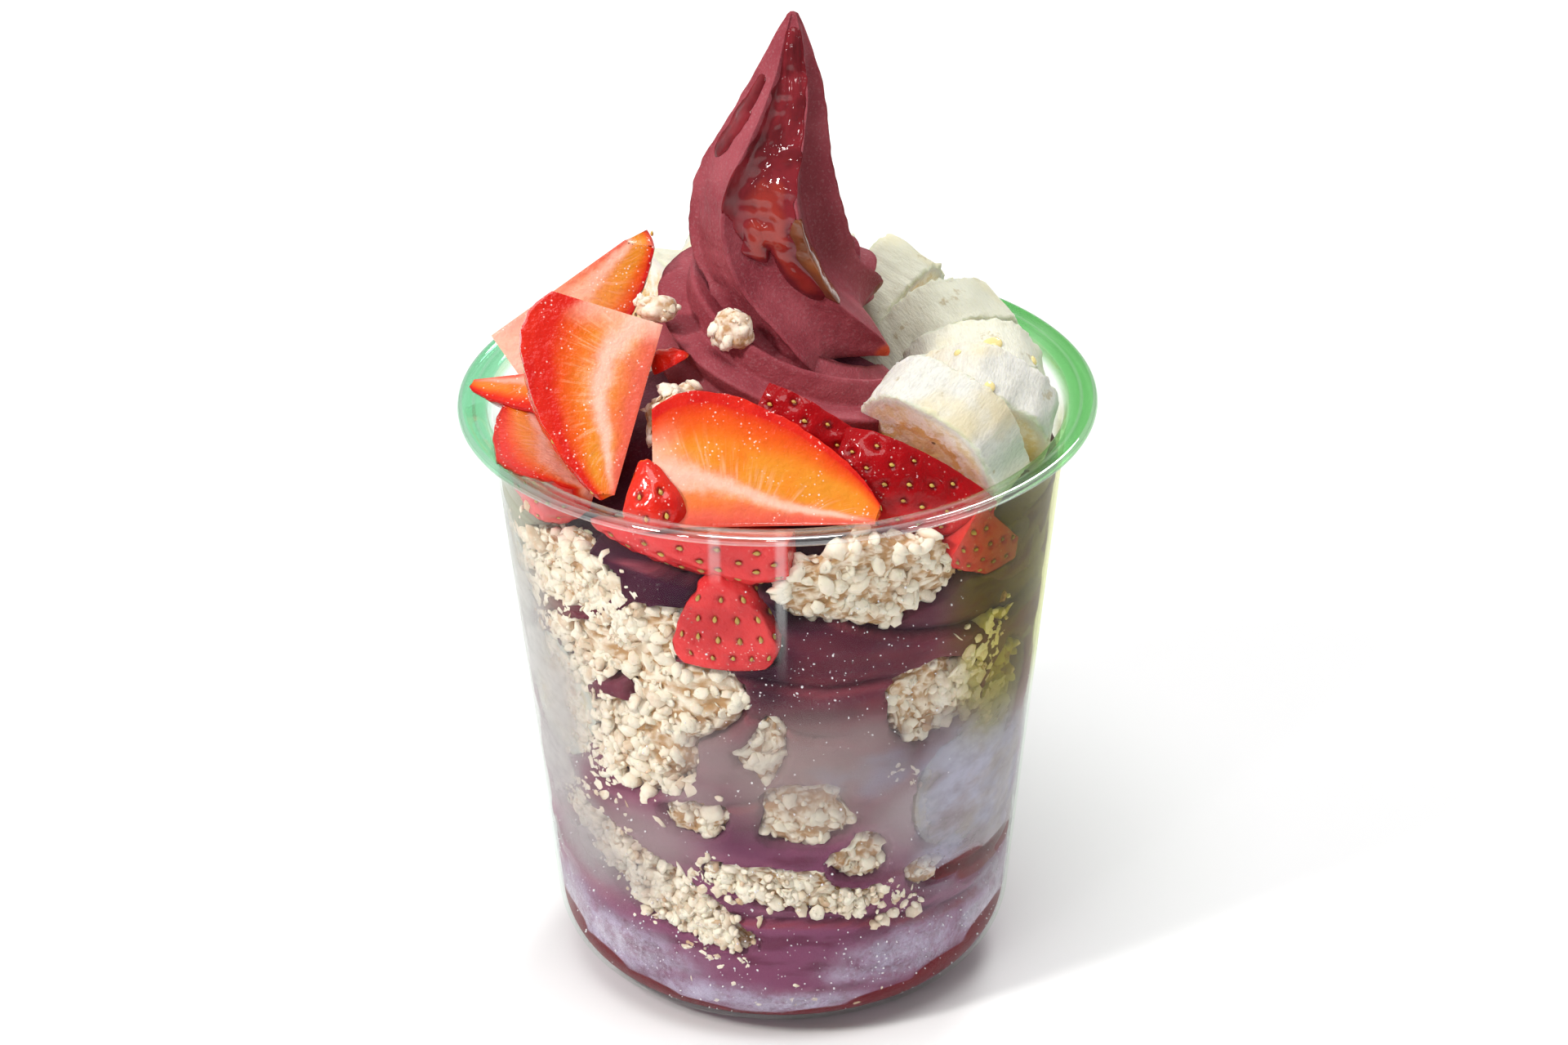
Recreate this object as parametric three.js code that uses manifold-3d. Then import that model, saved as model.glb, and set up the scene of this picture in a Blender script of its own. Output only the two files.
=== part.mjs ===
// An acai cup: a clear plastic tub with a flared rim, filled with ridged acai soft serve that rises
// to a drawn-out peak, with granola clusters, strawberry wedges and banana slices in and on it.
// Millimetres, +Z up, the tub's axis on Z and its foot on Z = 0. Turns are in degrees about Z, from
// the front (-Y) towards the right (+X).
import * as THREE from "three";
import { mergeVertices } from "three/addons/utils/BufferGeometryUtils.js";
import Module from "manifold-3d";

const wasm = await Module();
wasm.setup();

// ---- driving sizes ----------------------------------------------------------------------------
const RIM_RADIUS = 49;
const CUP_HEIGHT = 96;
const WALL = 0.8;
const MOUTH_RADIUS = 44.6; // outside of the wall, just under the rim
const KNEE_RADIUS = 36; // outside of the wall, where it turns in to the foot
const KNEE_ROUND = 11.6;
const RIM_THICKNESS = 1.6;
const FOOT_INNER = 17;
const FOOT_RISE = 1; // how far the middle of the floor is pushed up
const GAP = 0.35; // clearance kept between solids that touch
const STRAWBERRY_RADIUS = 18.5;
const SMALL_WEDGE = 10; // strawberry pieces of a smaller radius have fewer stations
const BANANA_RADIUS = 12.4;
const BANANA_THICKNESS = 9.4;
const PEAK_TOP = 158.2;
const ROUND = 32; // facets round the tub, and round what fills it
const FRUIT_FACETS = 15; // facets round a strawberry or a banana

const DEGREE = Math.PI / 180;
const INNER_KNEE = KNEE_ROUND - WALL;
const WALL_TOP = CUP_HEIGHT - RIM_THICKNESS;
const FOOT_OUTER = KNEE_RADIUS - KNEE_ROUND;
const PRESSED = GAP + 0.15; // how far food that presses on the wall stays from the true round of its inside

// ---- small tools ------------------------------------------------------------------------------
function seededRandom(seed) {
  let state = seed >>> 0;
  return () => {
    state = (state + 0x6d2b79f5) >>> 0;
    let mixed = Math.imul(state ^ (state >>> 15), 1 | state);
    mixed = (mixed + Math.imul(mixed ^ (mixed >>> 7), 61 | mixed)) ^ mixed;
    return ((mixed ^ (mixed >>> 14)) >>> 0) / 4294967296;
  };
}

function bare(geometry) {
  const plain = geometry.index ? geometry.toNonIndexed() : geometry.clone();
  for (const name of Object.keys(plain.attributes)) if (name !== "position") plain.deleteAttribute(name);
  return mergeVertices(plain, 1e-3);
}

function solidOf(geometry) {
  const merged = bare(geometry);
  return new wasm.Manifold(
    new wasm.Mesh({
      numProp: 3,
      vertProperties: new Float32Array(merged.attributes.position.array),
      triVerts: new Uint32Array(merged.index.array),
    }),
  );
}

function geometryOf(solid) {
  const mesh = solid.getMesh();
  const position = new Float32Array(mesh.numVert * 3);
  for (let i = 0; i < mesh.numVert; i++) {
    position.set(mesh.vertProperties.subarray(i * mesh.numProp, i * mesh.numProp + 3), i * 3);
  }
  return new THREE.BufferGeometry()
    .setAttribute("position", new THREE.BufferAttribute(position, 3))
    .setIndex(new THREE.BufferAttribute(mesh.triVerts, 1));
}

// The largest body of a solid that a cut may have left in scraps.
function largest(solid) {
  return solid.decompose().sort((a, b) => b.volume() - a.volume())[0];
}

function moved(geometry, place) {
  const { position } = geometry.attributes;
  for (let i = 0; i < position.count; i++) {
    position.setXYZ(i, ...place(new THREE.Vector3().fromBufferAttribute(position, i)).toArray());
  }
  return geometry;
}

function towards(turn, radius, height) {
  return new THREE.Vector3(radius * Math.sin(turn * DEGREE), -radius * Math.cos(turn * DEGREE), height);
}

function mix(a, b, share) {
  return a + (b - a) * share;
}

// A value read from stations [at, value], straight between them.
function along(stations, at) {
  const after = stations.findIndex(([station]) => station >= at);
  if (after === 0) return stations[0][1];
  if (after < 0) return stations[stations.length - 1][1];
  const [from, a] = stations[after - 1];
  const [to, b] = stations[after];
  return mix(a, b, (at - from) / (to - from));
}

// A solid turned about Z from [radius, height] points. LatheGeometry turns about Y, so it is stood
// up afterwards.
function turned(profile, facets = ROUND) {
  const points = profile.map(([radius, height]) => new THREE.Vector2(radius, height));
  return new THREE.LatheGeometry(points, facets).rotateX(Math.PI / 2);
}

// ---- the tub ----------------------------------------------------------------------------------
// Inside of the tub at a height, less an inset.
function innerRadius(height, inset = 0) {
  const share = (height - KNEE_ROUND) / (WALL_TOP - KNEE_ROUND);
  if (share >= 0) return mix(KNEE_RADIUS, MOUTH_RADIUS, share) - WALL - inset;
  const drop = Math.min(1, (KNEE_ROUND - height) / (INNER_KNEE - inset));
  return FOOT_OUTER + (INNER_KNEE - inset) * Math.sqrt(1 - drop * drop);
}

function kneeArc(round, steps = 3) {
  const points = [];
  for (let i = 0; i <= steps; i++) {
    const angle = (i / steps) * 90 * DEGREE;
    points.push([FOOT_OUTER + round * Math.sin(angle), KNEE_ROUND - round * Math.cos(angle)]);
  }
  return points;
}

function tub() {
  const bead = 0.5; // rounding of the rolled rim
  return turned([
    [0, FOOT_RISE],
    [FOOT_INNER - 2, FOOT_RISE],
    [FOOT_INNER, 0],
    ...kneeArc(KNEE_ROUND),
    [MOUTH_RADIUS, WALL_TOP],
    [RIM_RADIUS - 3 * bead, WALL_TOP + bead],
    [RIM_RADIUS - bead, WALL_TOP],
    [RIM_RADIUS, WALL_TOP + bead],
    [RIM_RADIUS, CUP_HEIGHT - bead],
    [RIM_RADIUS - bead, CUP_HEIGHT],
    [MOUTH_RADIUS + bead, CUP_HEIGHT],
    [MOUTH_RADIUS - WALL, CUP_HEIGHT - 2 * bead],
    ...kneeArc(INNER_KNEE).reverse(),
    [FOOT_INNER + WALL / 2, WALL],
    [FOOT_INNER - 2 + WALL / 2, FOOT_RISE + WALL],
    [0, FOOT_RISE + WALL],
  ]);
}

// All the space that toppings may take: the inside of the tub, and what lies over its rim.
function roomForToppings() {
  const over = CUP_HEIGHT + GAP;
  return turned([
    [0, KNEE_ROUND / 2],
    [innerRadius(KNEE_ROUND / 2, PRESSED), KNEE_ROUND / 2],
    [innerRadius(KNEE_ROUND, PRESSED), KNEE_ROUND],
    [innerRadius(WALL_TOP, PRESSED), WALL_TOP],
    [innerRadius(WALL_TOP, PRESSED), over],
    [RIM_RADIUS - GAP, over],
    [RIM_RADIUS - GAP, 2 * over],
    [0, 2 * over],
  ]);
}

const TOPPING_ROOM = solidOf(roomForToppings());

// ---- strawberries -----------------------------------------------------------------------------
// Share of a strawberry's radius at a share of its length, from the cut calyx end to the tip.
function berryOutline(share) {
  const shoulder = 0.2;
  if (share < shoulder) return 1 - 0.14 * (1 - share / shoulder) ** 2;
  return (1 - ((share - shoulder) / (1 - shoulder)) ** 1.6) ** 0.72;
}

// A wedge of strawberry cut lengthwise. Its core edge runs from calyx to tip, one flat cut face
// reaches from the core towards `skin` and looks towards `faces`, and the flesh takes up `spread`
// degrees behind that face. `growth` moves every side outwards.
function strawberryWedge({ calyx, tip, skin, faces, radius = STRAWBERRY_RADIUS, spread = 80 }, growth) {
  const from = new THREE.Vector3(...calyx);
  const axis = new THREE.Vector3(...tip).sub(from);
  const length = axis.length();
  axis.normalize();
  const outward = new THREE.Vector3(...skin).projectOnPlane(axis).normalize();
  const sideways = new THREE.Vector3().crossVectors(axis, outward);
  if (sideways.dot(new THREE.Vector3(...faces)) > 0) sideways.negate();
  const handed = Math.sign(sideways.dot(new THREE.Vector3().crossVectors(axis, outward)));
  const stations = radius < SMALL_WEDGE ? [0, 0.2, 0.55, 0.85, 1] : [0, 0.16, 0.4, 0.62, 0.8, 0.94, 1];
  const profile = stations.map((share) => [
    radius * berryOutline(share) + growth,
    share * (length + 2 * growth) - growth,
  ]);
  profile.unshift([0, -growth]);
  profile[profile.length - 1][0] = 0;
  const reach = 2 * radius;
  const apex = growth / Math.sin(Math.min(90, spread / 2) * DEGREE);
  const corners = [0, spread / 2, spread].map((angle) => [
    reach * Math.cos(angle * DEGREE),
    handed * reach * Math.sin(angle * DEGREE),
  ]);
  const shift = [-apex * Math.cos((spread / 2) * DEGREE), -handed * apex * Math.sin((spread / 2) * DEGREE)];
  const outline = [[0, 0], ...corners].map(([x, y]) => new THREE.Vector2(x + shift[0], y + shift[1]));
  const cut = { depth: 2 * length, bevelEnabled: false };
  const wedge = new THREE.ExtrudeGeometry(new THREE.Shape(outline), cut).translate(0, 0, -length / 2);
  const body = solidOf(turned(profile, FRUIT_FACETS)).intersect(solidOf(wedge));
  const across = new THREE.Vector3().crossVectors(axis, outward);
  return solidOf(
    moved(geometryOf(body), ({ x, y, z }) =>
      from.clone().addScaledVector(outward, x).addScaledVector(across, y).addScaledVector(axis, z),
    ),
  );
}

function strawberry(spec) {
  return { solid: strawberryWedge(spec, 0).intersect(TOPPING_ROOM), room: strawberryWedge(spec, GAP) };
}

const STRAWBERRIES = {
  strawberry_front: {
    calyx: [-18.4, -38.4, 92.5],
    tip: [16.2, -39.2, 93.1],
    skin: [0, 0.5, 0.86],
    faces: [0, -0.86, 0.5],
    spread: 58,
    radius: 20.2,
  },
  strawberry_front_left: {
    calyx: [-16.9, -15.4, 114.6],
    tip: [-24.6, -34.9, 94.4],
    skin: [-0.93, 0.05, 0.3],
    faces: [0.25, -0.75, 0.62],
    radius: 20,
    spread: 55,
  },
  strawberry_back_left: {
    calyx: [-43.6, 2, 105],
    tip: [-18.6, 4, 123],
    skin: [0.62, -0.35, -0.72],
    faces: [-0.5, -0.6, 0.62],
    radius: 14,
  },
  strawberry_over_rim: {
    calyx: [-24, -4, 103],
    tip: [-47.8, 0, 98.4],
    skin: [0.05, -0.85, -0.5],
    faces: [-0.1, -0.4, 0.9],
    radius: 9,
    spread: 85,
  },
  strawberry_left_edge: {
    calyx: [-27, -28.4, 94.4],
    tip: [-39.6, -0.5, 96.6],
    skin: [-0.9, -0.4, 0.1],
    faces: [0.2, -0.4, 0.9],
    radius: 12,
  },
  strawberry_gap: {
    calyx: [-17.6, -34.6, 91.6],
    tip: [-19.8, -32.6, 101.4],
    skin: [-1, -0.7, 0],
    faces: [-0.5, 1, 0],
    radius: 5.6,
    spread: 110,
  },
  strawberry_swirl_side: {
    calyx: [-1.6, -19, 103.4],
    tip: [19, -26.6, 95],
    skin: [-0.15, -0.55, 0.8],
    faces: [0.3, 0.75, 0.45],
    radius: 8.5,
    spread: 95,
  },
  strawberry_right: {
    calyx: [9.6, -22.6, 96],
    tip: [33.4, -28.4, 89.8],
    skin: [-0.15, -0.5, 0.8],
    faces: [0.35, 0.75, 0.55],
    radius: 11,
    spread: 100,
  },
  strawberry_wall_right: {
    calyx: [27, -29.6, 90.4],
    tip: [38, -20.4, 79.6],
    skin: [0.75, -0.7, 0.2],
    faces: [0.3, 0.3, 0.8],
    radius: 8.4,
    spread: 110,
  },
  strawberry_wall_cone: {
    calyx: [-7.6, -36.6, 70.6],
    tip: [-8.2, -39, 87.4],
    skin: [1, 0.2, 0],
    faces: [0, 1, 0],
    radius: 8.3,
    spread: 180,
  },
  strawberry_wall_front: {
    calyx: [2.4, -37, 91.4],
    tip: [-28.6, -31, 91],
    skin: [-0.1, -0.95, 0.1],
    faces: [0, -0.3, 0.95],
    radius: 8.6,
    spread: 100,
  },
  strawberry_wall_back: {
    calyx: [-20, 31, 66],
    tip: [-2, 39, 74],
    skin: [0.1, 1, -0.3],
    faces: [0.2, 0.3, 0.9],
    radius: 11,
    spread: 150,
  },
  strawberry_bit: {
    calyx: [-17.4, -13.6, 106.4],
    tip: [-13, -15.4, 109.4],
    skin: [0, -1, 0.3],
    faces: [1, 0.2, 0],
    radius: 2.8,
    spread: 150,
  },
};

// ---- bananas ----------------------------------------------------------------------------------
// A slice of peeled banana: a short round, faintly five-sided, with its cut faces at the ends of its Z.
function bananaSlice(radius, thickness) {
  const half = thickness / 2;
  const profile = [[0, -half], [radius, -half], [radius, half], [0, half]];
  return moved(turned(profile, FRUIT_FACETS), ({ x, y, z }) => {
    const fiveSided = 1 + 0.035 * Math.cos(5 * Math.atan2(y, x));
    return new THREE.Vector3(x * fiveSided, y * fiveSided, z);
  });
}

function standingSlice(centre, facing, radius) {
  const turn = new THREE.Quaternion().setFromUnitVectors(new THREE.Vector3(0, 0, 1), facing.normalize());
  const place = (point) => point.applyQuaternion(turn).add(centre);
  return {
    solid: solidOf(moved(bananaSlice(radius, BANANA_THICKNESS), place)).intersect(TOPPING_ROOM),
    room: solidOf(moved(bananaSlice(radius + GAP, BANANA_THICKNESS + 2 * GAP), place)),
  };
}

// The fanned row of slices stands round the back of the tub, each one a step further round than the
// one before.
const BANANA_ROW = {
  from: 53,
  step: 24,
  radius: 30.6,
  lean: 0.42,
  heights: [96.8, 94.4, 92.8, 93.6, 96.6, 98.2, 97, 96.4],
};

function bananaRow() {
  const row = {};
  BANANA_ROW.heights.forEach((height, i) => {
    const turn = BANANA_ROW.from + i * BANANA_ROW.step;
    const facing = new THREE.Vector3(-Math.cos(turn * DEGREE), -Math.sin(turn * DEGREE), -BANANA_ROW.lean);
    const centre = towards(turn, BANANA_ROW.radius, height);
    row["banana_" + (i + 1)] = standingSlice(centre, facing, BANANA_RADIUS - (i % 3) * 0.35);
  });
  return row;
}

// ---- granola ----------------------------------------------------------------------------------
const DEEP = 0.25; // how far in from the wall a pressed cluster's middle lies, as a share of its depth

// A lumpy body of oats, seen from its middle: in each direction it reaches as far as the furthest of
// its lumps, and never less than `core`.
function lumpyBody([width, depth, height], lumps, seed, detail) {
  const random = seededRandom(seed);
  const half = new THREE.Vector3(width / 2, depth / 2, height / 2);
  const least = Math.min(width, depth, height) / 2;
  const core = 0.72; // of the way to the size given
  const goldenTurn = 2.39996;
  const balls = [];
  for (let i = 0; i < lumps; i++) {
    const around = i * goldenTurn + random();
    const radius = least * mix(0.42, 0.62, random());
    const out = 0.95 * Math.sqrt(mix(0.45, 1, random()));
    const level = mix(-0.5, 0.5, random());
    const centre = new THREE.Vector3(Math.cos(around) * out, level, Math.sin(around) * out);
    balls.push({ centre: centre.multiply(half.clone().subScalar(radius * 0.9)), radius });
  }
  return moved(new THREE.IcosahedronGeometry(1, detail), (unit) => {
    const shell = unit.clone().multiply(half);
    const limit = shell.length();
    const direction = shell.clone().normalize();
    let reach = limit * core;
    for (const { centre, radius } of balls) {
      const ahead = direction.dot(centre);
      const inside = radius * radius - centre.lengthSq() + ahead * ahead;
      if (inside > 0) reach = Math.max(reach, ahead + Math.sqrt(inside));
    }
    return direction.multiplyScalar(Math.min(reach, limit));
  });
}

// The room that a lumpy body of that size needs in what surrounds it, with clearance: eight sides
// that close in behind it.
function roomAround([width, depth, height]) {
  const sides = 8;
  const round = 1 / Math.cos(Math.PI / sides);
  const taper = Math.SQRT2 - 1; // where a flank at 45 degrees touches a circle
  const profile = [[0, -1], [round, -1], [round, taper], [taper * round, 1], [0, 1]];
  return moved(turned(profile, sides), ({ x, y, z }) =>
    new THREE.Vector3(x * (width / 2 + GAP), z * (depth / 2 + GAP), -y * (height / 2 + GAP)),
  );
}

// Bends a body round the tub: its width runs round the wall, its depth inwards, and it stays inside
// the wall.
function againstWall(turn, height, depth, slope = 0, outermost = PRESSED) {
  return ({ x, y, z }) => {
    const level = height + z + slope * x;
    const wall = innerRadius(Math.max(level, KNEE_ROUND / 2));
    const radius = Math.min(wall - depth * DEEP - y, wall - outermost);
    return towards(turn + x / (innerRadius(height) * DEGREE), radius, level);
  };
}

// A heap of clusters [turn, height, size, lumps, seed, slope] pressed against the wall, as one solid
// and its room, which runs on into the wall.
function wallHeap(clusters, detail = 1) {
  const solids = [];
  const rooms = [];
  for (const [turn, height, size, lumps, seed, slope] of clusters) {
    const depth = size[1];
    const body = lumpyBody(size, lumps, seed, detail);
    solids.push(solidOf(moved(body, againstWall(turn, height, depth, slope))));
    rooms.push(solidOf(moved(roomAround(size), againstWall(turn, height, depth, slope, -depth))));
  }
  return { solid: solids.reduce((a, b) => a.add(b)), room: rooms.reduce((a, b) => a.add(b)) };
}

function looseCluster([x, y, z], size, lumps, seed) {
  return {
    solid: solidOf(lumpyBody(size, lumps, seed, 1).translate(x, y, z)),
    room: solidOf(roomAround(size).translate(x, y, z)),
  };
}

// A slice pressed flat against the inside of the wall.
function pressedSlice(turn, height, radius, thickness) {
  const stood = (by) => bananaSlice(radius + by, thickness + 2 * by).rotateX(Math.PI / 2);
  return {
    solid: solidOf(moved(stood(0), againstWall(turn, height, thickness))),
    room: solidOf(moved(stood(GAP), againstWall(turn, height, thickness, 0, -thickness))),
  };
}

const BANANAS = {
  ...bananaRow(),
  banana_wall_left: pressedSlice(-61, 55, 10.5, 7),
  banana_wall_left_top: pressedSlice(-80, 72, 10, 7.5),
  banana_wall_right: pressedSlice(48, 41.5, 10.8, 7.5),
  banana_wall_back: pressedSlice(152, 58, 11, 8),
};

const GRANOLA = {
  granola_front_right: wallHeap([[20, 83, [36, 12, 19], 12, 3]], 3),
  granola_right: wallHeap([[35.5, 59.8, [22, 11, 19.5], 9, 14]], 2),
  granola_left_top: wallHeap([[-52, 79.5, [29, 10, 16], 9, 25]], 2),
  granola_left_heap: wallHeap(
    [
      [-37, 71, [36, 10, 20], 9, 31, 0.3],
      [-21.5, 62.5, [25, 11, 18], 8, 33],
      [-33, 53, [27, 10, 20], 9, 37],
    ],
  ),
  granola_chip_middle: wallHeap([[-4, 55.5, [10.5, 8, 14.5], 5, 41]]),
  granola_chip_left: wallHeap([[-21, 41, [15, 7, 9], 5, 42]]),
  granola_centre: wallHeap([[5.5, 42.6, [18, 10, 15.5], 7, 43]], 2),
  granola_centre_low: wallHeap([[19, 34, [12.5, 8, 11.5], 5, 44]]),
  granola_band_left: wallHeap([[-36, 27.5, [41, 8, 17], 13, 50, -0.42]], 2),
  granola_band_centre: wallHeap([[3, 28.8, [31, 7, 10.5], 11, 60, -0.22]], 2),
  granola_right_back: wallHeap([[59.5, 55, [17, 9, 20], 7, 71]]),
  granola_right_low: wallHeap([[37, 27.5, [10, 7, 7], 4, 81]]),
  granola_right_brown: wallHeap([[66, 32.5, [12, 8, 13], 4, 82]]),
  granola_back_right: wallHeap([[104, 72, [24, 10, 15], 7, 91]], 2),
  granola_back_low: wallHeap([[176, 40, [21, 10, 15], 6, 94]]),
  granola_back_left: wallHeap([[-135, 72, [24, 11, 16], 7, 95]], 2),
  granola_band_back: wallHeap([[128, 22, [48, 7, 11], 14, 100, -0.12]]),
  granola_left_low: wallHeap([[-88, 30, [17, 9, 12], 5, 98]]),
  granola_crumb_left: looseCluster([-17.6, -10.5, 115], [8.2, 5.4, 5], 5, 111),
  granola_crumb_middle: looseCluster([-6.4, -14.4, 113.2], [7, 5.4, 8], 6, 112),
  granola_crumb_low: looseCluster([-13.4, -17.6, 104.6], [4, 4, 4], 3, 113),
  granola_between: looseCluster([-15.6, -21.5, 101.6], [10, 9, 14], 7, 114),
};

// ---- acai soft serve --------------------------------------------------------------------------
// Share of the radius round a star-nozzle's section: sharp crests, with round grooves of the given depth.
function starSection(angle, ridges, depth) {
  return 1 - depth * Math.abs(Math.sin((ridges / 2) * angle)) ** 0.85;
}

// The drawn-out peak, by height on its own axis: where the axis is, its radius, the depth of its
// grooves, the turn of its first ridge, and how far its sections dip towards `dip` for each
// millimetre outwards.
const PEAK = {
  ridges: 6,
  bottom: 107.5,
  dip: 40,
  x: [
    [108, 4.4], [112, 3.8], [115, 2.4], [118, 0.4], [122, -0.7],
    [128, -1.3], [135, -1], [140, 0.2], [146, 1.5], [158, 3],
  ],
  radius: [
    [107.5, 11.5], [108.4, 13.2], [110, 14.3], [113, 14.2], [116, 13.2],
    [119, 12.5], [123, 12.1], [128, 11.4], [135, 9.6], [140, 7.9],
    [145.5, 6.1], [150.5, 4.2], [153.6, 3], [156, 2], [157.6, 1.1],
  ],
  groove: [[107.5, 0.3], [118, 0.34], [128, 0.36], [140, 0.34], [150, 0.26], [156, 0.1]],
  ridgeTurn: [[108, 8], [112, 0], [117, -18], [123, -30], [130, -35], [140, -29], [150, -22]],
  slope: [[108, 0.38], [112, 0.34], [118, 0.16], [125, 0]],
};

function peak() {
  const levels = PEAK.radius.map(([height]) => height);
  const profile = [[0, PEAK.bottom], ...levels.map((height) => [1, height]), [0, PEAK_TOP]];
  return solidOf(
    moved(turned(profile, PEAK.ridges * 4), ({ x, y, z }) => {
      const angle = Math.atan2(x, -y);
      const section = starSection(angle, PEAK.ridges, along(PEAK.groove, z));
      const reach = along(PEAK.radius, z) * section * Math.hypot(x, y);
      const turn = angle / DEGREE + along(PEAK.ridgeTurn, z);
      const dipped = reach * Math.cos((turn - PEAK.dip) * DEGREE) * along(PEAK.slope, z);
      return towards(turn, reach, z - dipped).add(new THREE.Vector3(along(PEAK.x, z), 0, 0));
    }),
  );
}

// The rope of soft serve that carries the peak: from the back right it runs round the left to the
// front, and down under the toppings. Its ring is how far its middle lies from an axis at `axisX`.
const ROPE = {
  from: -232,
  to: 95,
  ridges: 7,
  radius: 10.2,
  groove: 0.2,
  axisX: 2.6,
  ring: [[-232, 9.5], [-90, 11.5], [0, 13.4], [60, 15], [130, 18]],
  height: [[-232, 107.5], [-150, 110], [-90, 108.5], [-45, 103.8], [0, 98.4], [60, 93], [130, 87]],
  step: 18.1,
};

function rope() {
  const points = [];
  for (let turn = ROPE.from; turn <= ROPE.to; turn += ROPE.step) {
    const point = towards(turn, along(ROPE.ring, turn), along(ROPE.height, turn));
    points.push(point.setX(point.x + ROPE.axisX));
  }
  const corners = ROPE.ridges * 2;
  const outline = [];
  for (let i = 0; i < corners; i++) {
    const angle = (i / corners) * 2 * Math.PI;
    const reach = ROPE.radius * (1 - ROPE.groove * (i % 2));
    outline.push(new THREE.Vector2(reach * Math.cos(angle), reach * Math.sin(angle)));
  }
  return solidOf(
    new THREE.ExtrudeGeometry(new THREE.Shape(outline), {
      steps: 15, // facets along the rope
      bevelEnabled: false,
      extrudePath: new THREE.CatmullRomCurve3(points),
    }),
  );
}

// The mass inside the tub: coils that lie on each other and press against the wall, with a groove
// between them, and a mound on top, as [share of the radius, height], that the rope lies on.
const FILL = {
  top: 85.4,
  coil: 11.7,
  groove: 1.7,
  firstGroove: 18.2,
  tilt: 2.2,
  mound: [[0.86, 87.5], [0.5, 94], [0, 99]],
};

function fill() {
  const floor = FOOT_RISE + WALL + GAP;
  const rows = [
    { share: 0, height: floor },
    { share: (FOOT_INNER - 1) / FOOT_OUTER, height: floor, radius: FOOT_OUTER },
    { share: 1, height: WALL + GAP, radius: FOOT_OUTER },
    { share: 1, height: KNEE_ROUND * 0.22 },
    { share: 1, height: KNEE_ROUND * 0.5 },
  ];
  let groove = false;
  for (let height = FILL.firstGroove - FILL.coil / 2; height < FILL.top - 1; height += FILL.coil / 2) {
    const coiled = height >= FILL.firstGroove;
    rows.push({ share: 1, height, tilt: coiled ? FILL.tilt : 0, groove: groove ? FILL.groove : 0 });
    groove = !groove;
  }
  rows.push({ share: 1, height: FILL.top });
  for (const [share, height] of FILL.mound) rows.push({ share, height });
  const lathe = turned(rows.map(({ share }, row) => [share, row]));
  return solidOf(
    moved(lathe, ({ x, y, z: row }) => {
      const { height, radius, tilt = 0, groove = 0 } = rows[Math.round(row)];
      const level = height + tilt * Math.sin(Math.atan2(x, -y) + 1);
      const reach = radius ?? innerRadius(level, GAP) - groove;
      return new THREE.Vector3(x * reach, y * reach, level);
    }),
  );
}

// ---- fitting everything together --------------------------------------------------------------
const acaiCup = new THREE.Group();
const taken = []; // the room that each piece in place needs

function addPiece(name, solid, color, roughness) {
  const material = new THREE.MeshStandardMaterial({ color, roughness, metalness: 0 });
  const mesh = new THREE.Mesh(geometryOf(solid), material);
  mesh.name = name;
  acaiCup.add(mesh);
  return material;
}

function fitted(solid) {
  return largest(taken.reduce((rest, room) => rest.subtract(room), solid));
}

function addTopping(name, { solid, room }, color, roughness) {
  addPiece(name, fitted(solid), color, roughness);
  taken.push(room);
}

Object.assign(addPiece("cup", solidOf(tub()), 0xeaf2ef, 0.08), { transparent: true, opacity: 0.35 });
for (const [name, spec] of Object.entries(STRAWBERRIES)) addTopping(name, strawberry(spec), 0xd8261c, 0.35);
for (const [name, slice] of Object.entries(BANANAS)) addTopping(name, slice, 0xf1e6c4, 0.55);
for (const [name, cluster] of Object.entries(GRANOLA)) addTopping(name, cluster, 0xdcc199, 0.85);
addPiece("acai", fitted(fill().add(rope()).add(peak())), 0x6e2f45, 0.5);

export default acaiCup;
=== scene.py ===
"""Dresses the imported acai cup: a clear tub, acai soft serve drawn out to a peak, granola, strawberries and banana."""

import math

import bpy
import numpy as np
from mathutils import Matrix, Vector
from mathutils.bvhtree import BVHTree
from mathutils.kdtree import KDTree


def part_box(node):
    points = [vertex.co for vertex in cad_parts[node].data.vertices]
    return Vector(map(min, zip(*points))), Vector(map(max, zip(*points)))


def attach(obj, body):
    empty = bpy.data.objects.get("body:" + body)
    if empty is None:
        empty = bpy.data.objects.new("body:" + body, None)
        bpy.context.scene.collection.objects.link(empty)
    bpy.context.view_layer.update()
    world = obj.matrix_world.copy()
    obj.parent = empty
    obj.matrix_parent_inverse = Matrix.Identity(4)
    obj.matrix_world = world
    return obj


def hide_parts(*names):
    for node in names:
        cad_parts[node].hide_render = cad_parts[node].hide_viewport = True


bl_info = {
    "name": "Acai Cup",
    "version": (1, 0, 0),
    "blender": (4, 5, 0),
    "location": "View3D > Sidebar > Acai Cup",
    "description": "A clear tub of acai soft serve with granola, strawberries and banana",
    "category": "Object",
}

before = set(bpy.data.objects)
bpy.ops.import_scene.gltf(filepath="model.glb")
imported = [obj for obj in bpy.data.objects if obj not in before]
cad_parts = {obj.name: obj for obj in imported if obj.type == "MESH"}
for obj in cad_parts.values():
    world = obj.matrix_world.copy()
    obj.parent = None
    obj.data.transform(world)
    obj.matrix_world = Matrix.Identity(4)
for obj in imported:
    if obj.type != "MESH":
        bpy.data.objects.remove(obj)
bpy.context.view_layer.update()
TUB_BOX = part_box("cup")
MM = 0.001
DEGREE = math.pi / 180
OVER_FLOOR = 0.3  # millimetres above the tub's floor where its wall begins to hold things in
OVER_WALL = 0.9  # millimetres above the wall's top where it stops


# ---- sizes and colours that a user may change ----


def length(name, description, millimetres):
    return bpy.props.FloatProperty(
        name=name, description=description, default=millimetres * MM, min=0, unit="LENGTH", subtype="DISTANCE"
    )


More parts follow.
